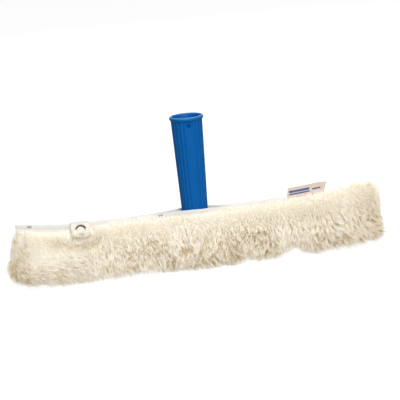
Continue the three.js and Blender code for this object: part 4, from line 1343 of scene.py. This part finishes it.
def make_lining():
    power = LINING_SQUARENESS / 2
    floor_angle = math.acos(((SLIT_FLOOR - SLEEVE_MIDDLE) / LINING_HALF_HEIGHT) ** power)

    def place(x, angle, offset):
        sine, cosine = math.sin(angle), math.cos(angle)
        y = math.copysign(abs(sine) ** (1 / power), sine)
        z = math.copysign(abs(cosine) ** (1 / power), cosine)
        offset += CLOTH_WAVE * wobble(x, 10 * MM * y, 10 * MM * z, 7 * MM)
        height = SLEEVE_MIDDLE + z * (LINING_HALF_HEIGHT + offset)
        return Vector((x, y * (LINING_HALF_DEPTH + offset), height))

    sections = []
    for x in evenly(-LINING_HALF_LENGTH, LINING_HALF_LENGTH, 140):
        edge = slit_edge(x) if HEM_LEFT < x < HEM_RIGHT else LAYER_GAP
        start = min(math.asin(min(1.0, edge / LINING_HALF_DEPTH) ** power), floor_angle)
        angles = evenly(start, 2 * math.pi - start, 72)
        section = [place(x, angle, LINING_THICKNESS / 2) for angle in angles]
        sections.append(section + [place(x, angle, -LINING_THICKNESS / 2) for angle in reversed(angles)])
    lining = cloth_loft("woven_lining", sections, LINING_CLOTH)
    ride_on(lining, "washer", ["sleeve_lining"])


# Tapes: in the sewn top of the closed end, and along the two edges of the slit

def lay_tape(name, sections, node):
    tape = cloth_loft(name, sections, TAPE_CLOTH)
    ride_on(tape, "washer", [node])


def make_seam_tape():
    low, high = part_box("pocket_seam_tape")
    sections = []
    for x in evenly(low.x, high.x, 60):
        top = top_at(SEAM_TAPE, well_inside(low.x, high.x, x), 0)
        middle = SEAM_TAPE_WAVE * wobble(x, 0, 3, 8 * MM)
        section = folded_tape(low.z, top, 0.9 * high.y, top - SEAM_STITCH_DROP)
        sections.append([Vector((x, middle + across, height)) for across, height in section])
    lay_tape("seam_tape", sections, "pocket_seam_tape")


def hem_section(x, side):
    """Where a hem's tape is across the sleeve: its outer face and its top."""
    outer = hem_face(x, side)
    middle = side * (outer - HEM_THICKNESS / 2)
    return outer, top_at(HEMS[side], well_inside(HEM_LEFT, HEM_RIGHT, x), middle)


def make_hem(name, side, node):
    sections = []
    for x in evenly(HEM_LEFT, HEM_RIGHT, 236):
        outer, top = hem_section(x, side)
        top += HEM_TOP_WAVE * wobble(x, side, 0, 9 * MM) + CLOTH_WAVE * wobble(x, side, 0, 2.5 * MM)
        middle = outer - HEM_THICKNESS / 2 + HEM_SIDE_WAVE * wobble(x, side, 5, 4 * MM)
        half = HEM_THICKNESS / 2 * (0.94 + 0.08 * wobble(x, side, 9, 5 * MM))
        section = folded_tape(top - HEM_DEPTH, top, half, top - HEM_DEPTH + HEM_STITCH_HEIGHT)
        sections.append([Vector((x, side * (middle + across), height)) for across, height in section])
    lay_tape(name, sections, node)


# Stitches: short closed beads of thread along a row of points

def make_stitch_tree():
    """One stitch at each point; the points carry heading, the way the thread runs there."""
    tree, graph, given, result = new_group("Stitch Row", "GeometryNodeTree", {
        "Points": "Geometry", "Length": STITCH_LENGTH, "Thread Radius": THREAD_RADIUS, "Seed": 1,
        "Material": "Material"}, {"Stitches": "Geometry"})
    bead = graph.get("GeometryNodeMeshUVSphere", "Mesh", {"Segments": 8, "Rings": 6, "Radius": 1.0})
    heading = graph.get("GeometryNodeInputNamedAttribute", "Attribute", {"Name": "heading"},
                        data_type="FLOAT_VECTOR")
    aligned = graph.get("FunctionNodeAlignRotationToVector", 0, {"Vector": heading}, axis="Z")
    reach = given["Length"] * 0.5 * graph.random(0.85, 1.1, given["Seed"])
    placed = graph.get("GeometryNodeInstanceOnPoints", 0, {
        "Points": given["Points"], "Instance": bead, "Rotation": aligned,
        "Scale": graph.join(given["Thread Radius"], given["Thread Radius"], reach)})
    real = graph.get("GeometryNodeRealizeInstances", 0, {"Geometry": placed})
    smooth = graph.get("GeometryNodeSetShadeSmooth", 0, {"Geometry": real})
    graph.put(result["Stitches"], graph.get(
        "GeometryNodeSetMaterial", 0, {"Geometry": smooth, "Material": given["Material"]}))
    return tree


STITCHES = make_stitch_tree()


def sew(name, places, headings, seed, length=STITCH_LENGTH, radius=THREAD_RADIUS, material=THREAD):
    piece = new_piece(name, places, [])
    put_values(piece.data, "heading", "FLOAT_VECTOR", [tuple(h) for h in headings])
    use_tree(piece, STITCHES, Length=length, Thread_Radius=radius, Seed=seed, Material=material)
    if "heading" in piece.data.attributes:
        piece.data.attributes.remove(piece.data.attributes["heading"])
    ride_on(piece, "washer")


def sew_hem(name, side, seed):
    """A row of stitches along the outer face of a hem."""
    places, headings = [], []
    start = HEM_LEFT + HEM_STITCH_MARGIN
    for i in range(int((HEM_RIGHT - HEM_STITCH_MARGIN - start) / HEM_STITCH_PITCH)):
        x = start + HEM_STITCH_PITCH * (i + 0.5)
        outer, top = hem_section(x, side)
        places.append(Vector((x, side * (outer - STITCH_SUNK), top - HEM_DEPTH + HEM_STITCH_HEIGHT)))
        ahead, ahead_top = hem_section(x + 1 * MM, side)
        headings.append(Vector((1 * MM, side * (ahead - outer), ahead_top - top)).normalized())
    sew(name, places, headings, seed)


def sew_bar_tack(name, x, side, seed):
    """Close zigzag stitches that lock an end of the hem."""
    places, headings = [], []
    for i in range(TACK_STITCHES):
        place = x + (i - (TACK_STITCHES - 1) / 2) * TACK_PITCH
        outer, top = hem_section(place, side)
        places.append(Vector((place, side * (outer + TACK_RAISED), top - TACK_DROP)))
        headings.append(Vector((0.25 if i % 2 else -0.25, 0, 1)).normalized())
    sew(name, places, headings, seed, TACK_LENGTH, TACK_THREAD_RADIUS, TACK_THREAD)


# Closing tab

TAB_PIVOT_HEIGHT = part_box("tab_bridge")[0].z + TAB_THICKNESS / 2
TAB_FRONT_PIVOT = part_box("tab_bridge")[0].y + TAB_THICKNESS / 2
TAB_BACK_FACE = (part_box("tab_anchor")[0].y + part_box("tab_anchor")[1].y) / 2
TAB_ANCHOR_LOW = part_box("tab_anchor")[0].z


def on_slope(inwards, down, across=0):
    """A point on the tab's front slope: how far in from its middle, down from its pivot, and
    across from the tab's middle line."""
    y = inwards * math.cos(TAB_SLOPE) - down * math.sin(TAB_SLOPE)
    z = -inwards * math.sin(TAB_SLOPE) - down * math.cos(TAB_SLOPE)
    return Vector((TAB_PLACE + across, TAB_FRONT_PIVOT + y, TAB_PIVOT_HEIGHT + z))


def even_steps(start, end):
    """Points of a strip's path after its start."""
    count = max(1, round((end - start).length / STRIP_STEP))
    return evenly(start, end, count)[1:]


def rounded_path(start, corner, end, radius):
    """Points along a bent line, with its corner rounded."""
    enter = corner + (start - corner).normalized() * radius
    leave = corner + (end - corner).normalized() * radius
    path = [start] + even_steps(start, enter)
    path += [enter * (1 - t) ** 2 + corner * 2 * t * (1 - t) + leave * t ** 2 for t in evenly(0, 1, 6)[1:]]
    return path + even_steps(path[-1], end)


def cloth_strip(name, path, half_width, thickness, corner):
    """A strip of tape along a path on the tab's middle line, with its far end's corners rounded."""
    lengths = [0.0]
    for before, after in zip(path, path[1:]):
        lengths.append(lengths[-1] + (after - before).length)
    sections = []
    for i, point in enumerate(path):
        along = (path[min(len(path) - 1, i + 1)] - path[max(0, i - 1)]).normalized()
        normal = Vector((0, -along.z, along.y))
        left = lengths[-1] - lengths[i]
        width = half_width
        if left < corner:
            width += math.sqrt(max(0.0, corner ** 2 - (corner - left) ** 2)) - corner
        upper, lower = [], []
        for share in evenly(-1, 1, 18):
            x = TAB_PLACE + width * share
            edge = min(1.0, (1 - abs(share)) * half_width / STRIP_EDGE + 0.35)
            lift = CLOTH_WAVE * wobble(x, point.y, point.z, 4 * MM)
            half = thickness / 2 * edge
            upper.append(Vector((x, point.y, point.z)) + normal * (lift + half))
            lower.append(Vector((x, point.y, point.z)) + normal * (lift - half))
        sections.append(upper + lower[::-1])
    return cloth_loft(name, sections, TAPE_CLOTH)


def make_tab():
    """The tab in two pieces that bend at its two hinge lines, and meet in the middle of the bridge."""
    bridge_half = (TAB_BACK_FACE - TAB_FRONT_PIVOT) / 2
    middle = Vector((TAB_PLACE, TAB_FRONT_PIVOT + bridge_half, TAB_PIVOT_HEIGHT))
    back_pivot = Vector((TAB_PLACE, TAB_BACK_FACE, TAB_PIVOT_HEIGHT))
    front_pivot = Vector((TAB_PLACE, TAB_FRONT_PIVOT, TAB_PIVOT_HEIGHT))
    anchor_foot = Vector((TAB_PLACE, TAB_BACK_FACE, TAB_ANCHOR_LOW))
    inwards = Vector((0, TAB_BEND_REACH, 0))
    back_cloth = cloth_strip("tab_back_cloth", rounded_path(anchor_foot, back_pivot, middle, TAB_BEND_RADIUS),
                             TAB_HALF_WIDTH, TAB_THICKNESS, 0)
    front_path = rounded_path(middle, front_pivot, on_slope(0, TAB_TIP_LENGTH), TAB_BEND_RADIUS)
    front_cloth = cloth_strip("tab_front_cloth", front_path, TAB_HALF_WIDTH, TAB_THICKNESS, TAB_CORNER)
    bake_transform(back_cloth, "washer", "tab_bridge", start=back_pivot - UP * TAB_BEND_REACH,
             end=back_pivot - inwards)
    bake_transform(front_cloth, "tab_bridge", "tab_tip", start=front_pivot + inwards,
             end=on_slope(0, TAB_BEND_REACH))
    for cloth, nodes in ((back_cloth, ["tab_anchor", "tab_bridge"]), (front_cloth, ["tab_tip"])):
        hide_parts(*nodes)
    patch_path = even_steps(on_slope(PATCH_MIDDLE_DEPTH, PATCH_TOP),
                            on_slope(PATCH_MIDDLE_DEPTH, PATCH_TOP + PATCH_LENGTH))
    patch = cloth_strip("stud_patch_cloth", patch_path, PATCH_HALF_WIDTH, PATCH_THICKNESS, TAB_CORNER)
    ride_on(patch, "washer", ["stud_patch"])


def grow_tab_pile():
    """Fleece on the front of the tab, brushed up over the lower half of the stud."""
    face = -TAB_THICKNESS / 2 - 0.02 * MM
    upwards = (on_slope(0, 0) - on_slope(0, 1)).normalized()
    grid, looks = [], []
    for drop in evenly(*TIP_WOOL_ROWS, 14):
        half = TAB_HALF_WIDTH - TIP_WOOL_SIDE_MARGIN
        left = TAB_TIP_LENGTH - drop
        if left < TAB_CORNER:
            half += math.sqrt(TAB_CORNER ** 2 - (TAB_CORNER - left) ** 2) - TAB_CORNER
        foot = smooth_step(*TIP_WOOL_FOOT, drop)
        below = drop - STUD_DROP
        line, look_line = [], []
        for across in evenly(-half, half, 18):
            line.append(on_slope(face, drop, across))
            distance = math.hypot(across, below)
            clear = distance > STUD_RADIUS + TIP_WOOL_STUD_MARGIN
            lower = smooth_step(-0.3, 0.7, below / max(distance, 0.1 * MM))
            rim = smooth_step(0.8, 1.0, abs(across) / TAB_HALF_WIDTH)
            lean = upwards * mix(mix(0.1, 1.1, lower), -0.8, max(rim, foot))
            lean.x = across / TAB_HALF_WIDTH * mix(0.8, -0.9, lower * (1 - rim))
            look_line.append({"reach": mix(*TIP_WOOL_REACH, lower), "cover": 1.0 if clear else 0.0,
                              "curl": 0.25, "lean": lean, "sunk": 0})
        grid.append(line)
        looks.append(look_line)
    pile = plant("tab_pile", grid, looks, 300, TAB_PILE, lambda centre: centre + TAB_INWARDS)
    ride_on(pile, "tab_tip")


def make_stud():
    """Press stud: a rolled rim in dark metal, painted shade, round a pale face, a painted reflection of white
    surroundings in its nickel.
    """
    bead_middle = STUD_RADIUS - STUD_BEAD
    bead_depth = STUD_SEAT + STUD_BEAD + STUD_BEAD_GAP
    ring = [(0, STUD_SEAT), (bead_middle, STUD_SEAT)]
    for degrees in evenly(-80, 180, 10):
        angle = math.radians(degrees)
        ring.append((bead_middle + STUD_BEAD * math.cos(angle), bead_depth + STUD_BEAD * math.sin(angle)))
    radius = bead_middle - STUD_BEAD
    wide = radius + STUD_FACE_OVERLAP
    dome = ((0, 0.02), (wide, 0.02), (wide, 0.3), (radius - STUD_FACE_BEVEL, 0.55), (radius * 0.6, 0.75),
            (radius * 0.3, 0.85), (0, 0.88))
    face = [(around, STUD_SEAT + outwards * MM) for around, outwards in dome]

    def place(around, outwards, angle):
        return on_slope(-outwards, STUD_DROP + around * math.cos(angle), around * math.sin(angle))

    for name, outline, is_ring, material, nodes in (
            ("stud_ring", ring, True, RIM_SHADE_NICKEL, ["stud_cap"]), ("stud_face", face, False, STUD_FACE_REFLECTION, [])):
        piece = turned_piece(name, outline, STUD_SIDES, place, is_ring, 0.005 * MM)
        piece.data.set_sharp_from_angle(angle=math.radians(50))
        piece.data.materials.append(material)
        ride_on(piece, "tab_tip", nodes)


# Label

def make_label():
    low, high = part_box("label")
    tilt = math.atan2(high.z - low.z - LABEL_HEIGHT, LABEL_LENGTH)
    base = Vector((low.x + LABEL_HEIGHT * math.sin(tilt), 0, low.z))
    along = Vector((math.cos(tilt), 0, math.sin(tilt)))
    upright = Vector((-math.sin(tilt), 0, math.cos(tilt)))

    def place(u, v, across):
        """A point of the label: share of its length, share of its height, and way through its layers."""
        curl = LABEL_CURL * math.sin(math.pi * (1.3 * u + 0.15)) + LABEL_END_CURL * smooth_step(0.8, 1, u)
        lift = LABEL_END_LIFT * smooth_step(0, 0.12, 1 - u) - LABEL_END_SAG * smooth_step(0.75, 1, u)
        shift = LABEL_SHEAR + LABEL_FLARE * v * smooth_step(0.7, 1, u)
        point = base + along * (u * LABEL_LENGTH + shift * v) + upright * (v * (LABEL_HEIGHT + lift))
        return point - Vector((0, curl * v + across, 0))

    sections = []
    for u in evenly(0, 1, 50):
        layers = []
        for width in (LABEL_THICKNESS / 2, LAYER_GAP / 2):
            heights = evenly(0, 1, 14)[:-1]
            layer = [place(u, v, width) for v in heights]
            for angle in evenly(0, math.pi, 4):
                lift = (width * math.sin(angle) - LABEL_THICKNESS / 2) / LABEL_HEIGHT
                layer.append(place(u, 1 + lift, width * math.cos(angle)))
            layers.append(layer + [place(u, v, -width) for v in reversed(heights)])
        sections.append(layers[0] + layers[1][::-1])
    label = cloth_loft("woven_label", sections, LABEL_CLOTH)
    layer = label.data.uv_layers.new(name="OFBake")
    for loop in label.data.loops:
        offset = label.data.vertices[loop.vertex_index].co - base
        layer.data[loop.index].uv = (offset.dot(along) / LABEL_LENGTH, offset.dot(upright) / LABEL_HEIGHT)
    foot = base + along * (LABEL_LENGTH / 2)
    bend_low, bend_high = LABEL_BEND
    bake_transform(label, "washer", "label_flap", start=foot + upright * bend_low, end=foot + upright * bend_high)
    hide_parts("label")


# Everything in order

make_camera()
make_studio()
for node, material in (
        ("cross_bar", BAR_PLASTIC), ("handle_screw", STEEL), ("screw_washer", STEEL), ("screw_nut", STEEL),
        ("stud_ball", NICKEL), ("stud_socket", NICKEL), ("stud_back_plate", NICKEL)):
    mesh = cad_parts[node].data
    mesh.materials.clear()
    mesh.materials.append(material)
make_grip()
make_sleeve()
make_lining()
make_seam_tape()
make_hem("front_hem", -1, "front_hem_tape")
make_hem("back_hem", 1, "back_hem_tape")
sew_hem("front_hem_stitches", -1, 5)
sew_hem("back_hem_stitches", 1, 6)
sew_bar_tack("left_bar_tack", HEM_LEFT + LEFT_TACK_INSET, -1, 7)
sew_bar_tack("middle_bar_tack", MIDDLE_TACK_PLACE, -1, 8)
make_stud()
make_tab()
grow_tab_pile()
make_label()
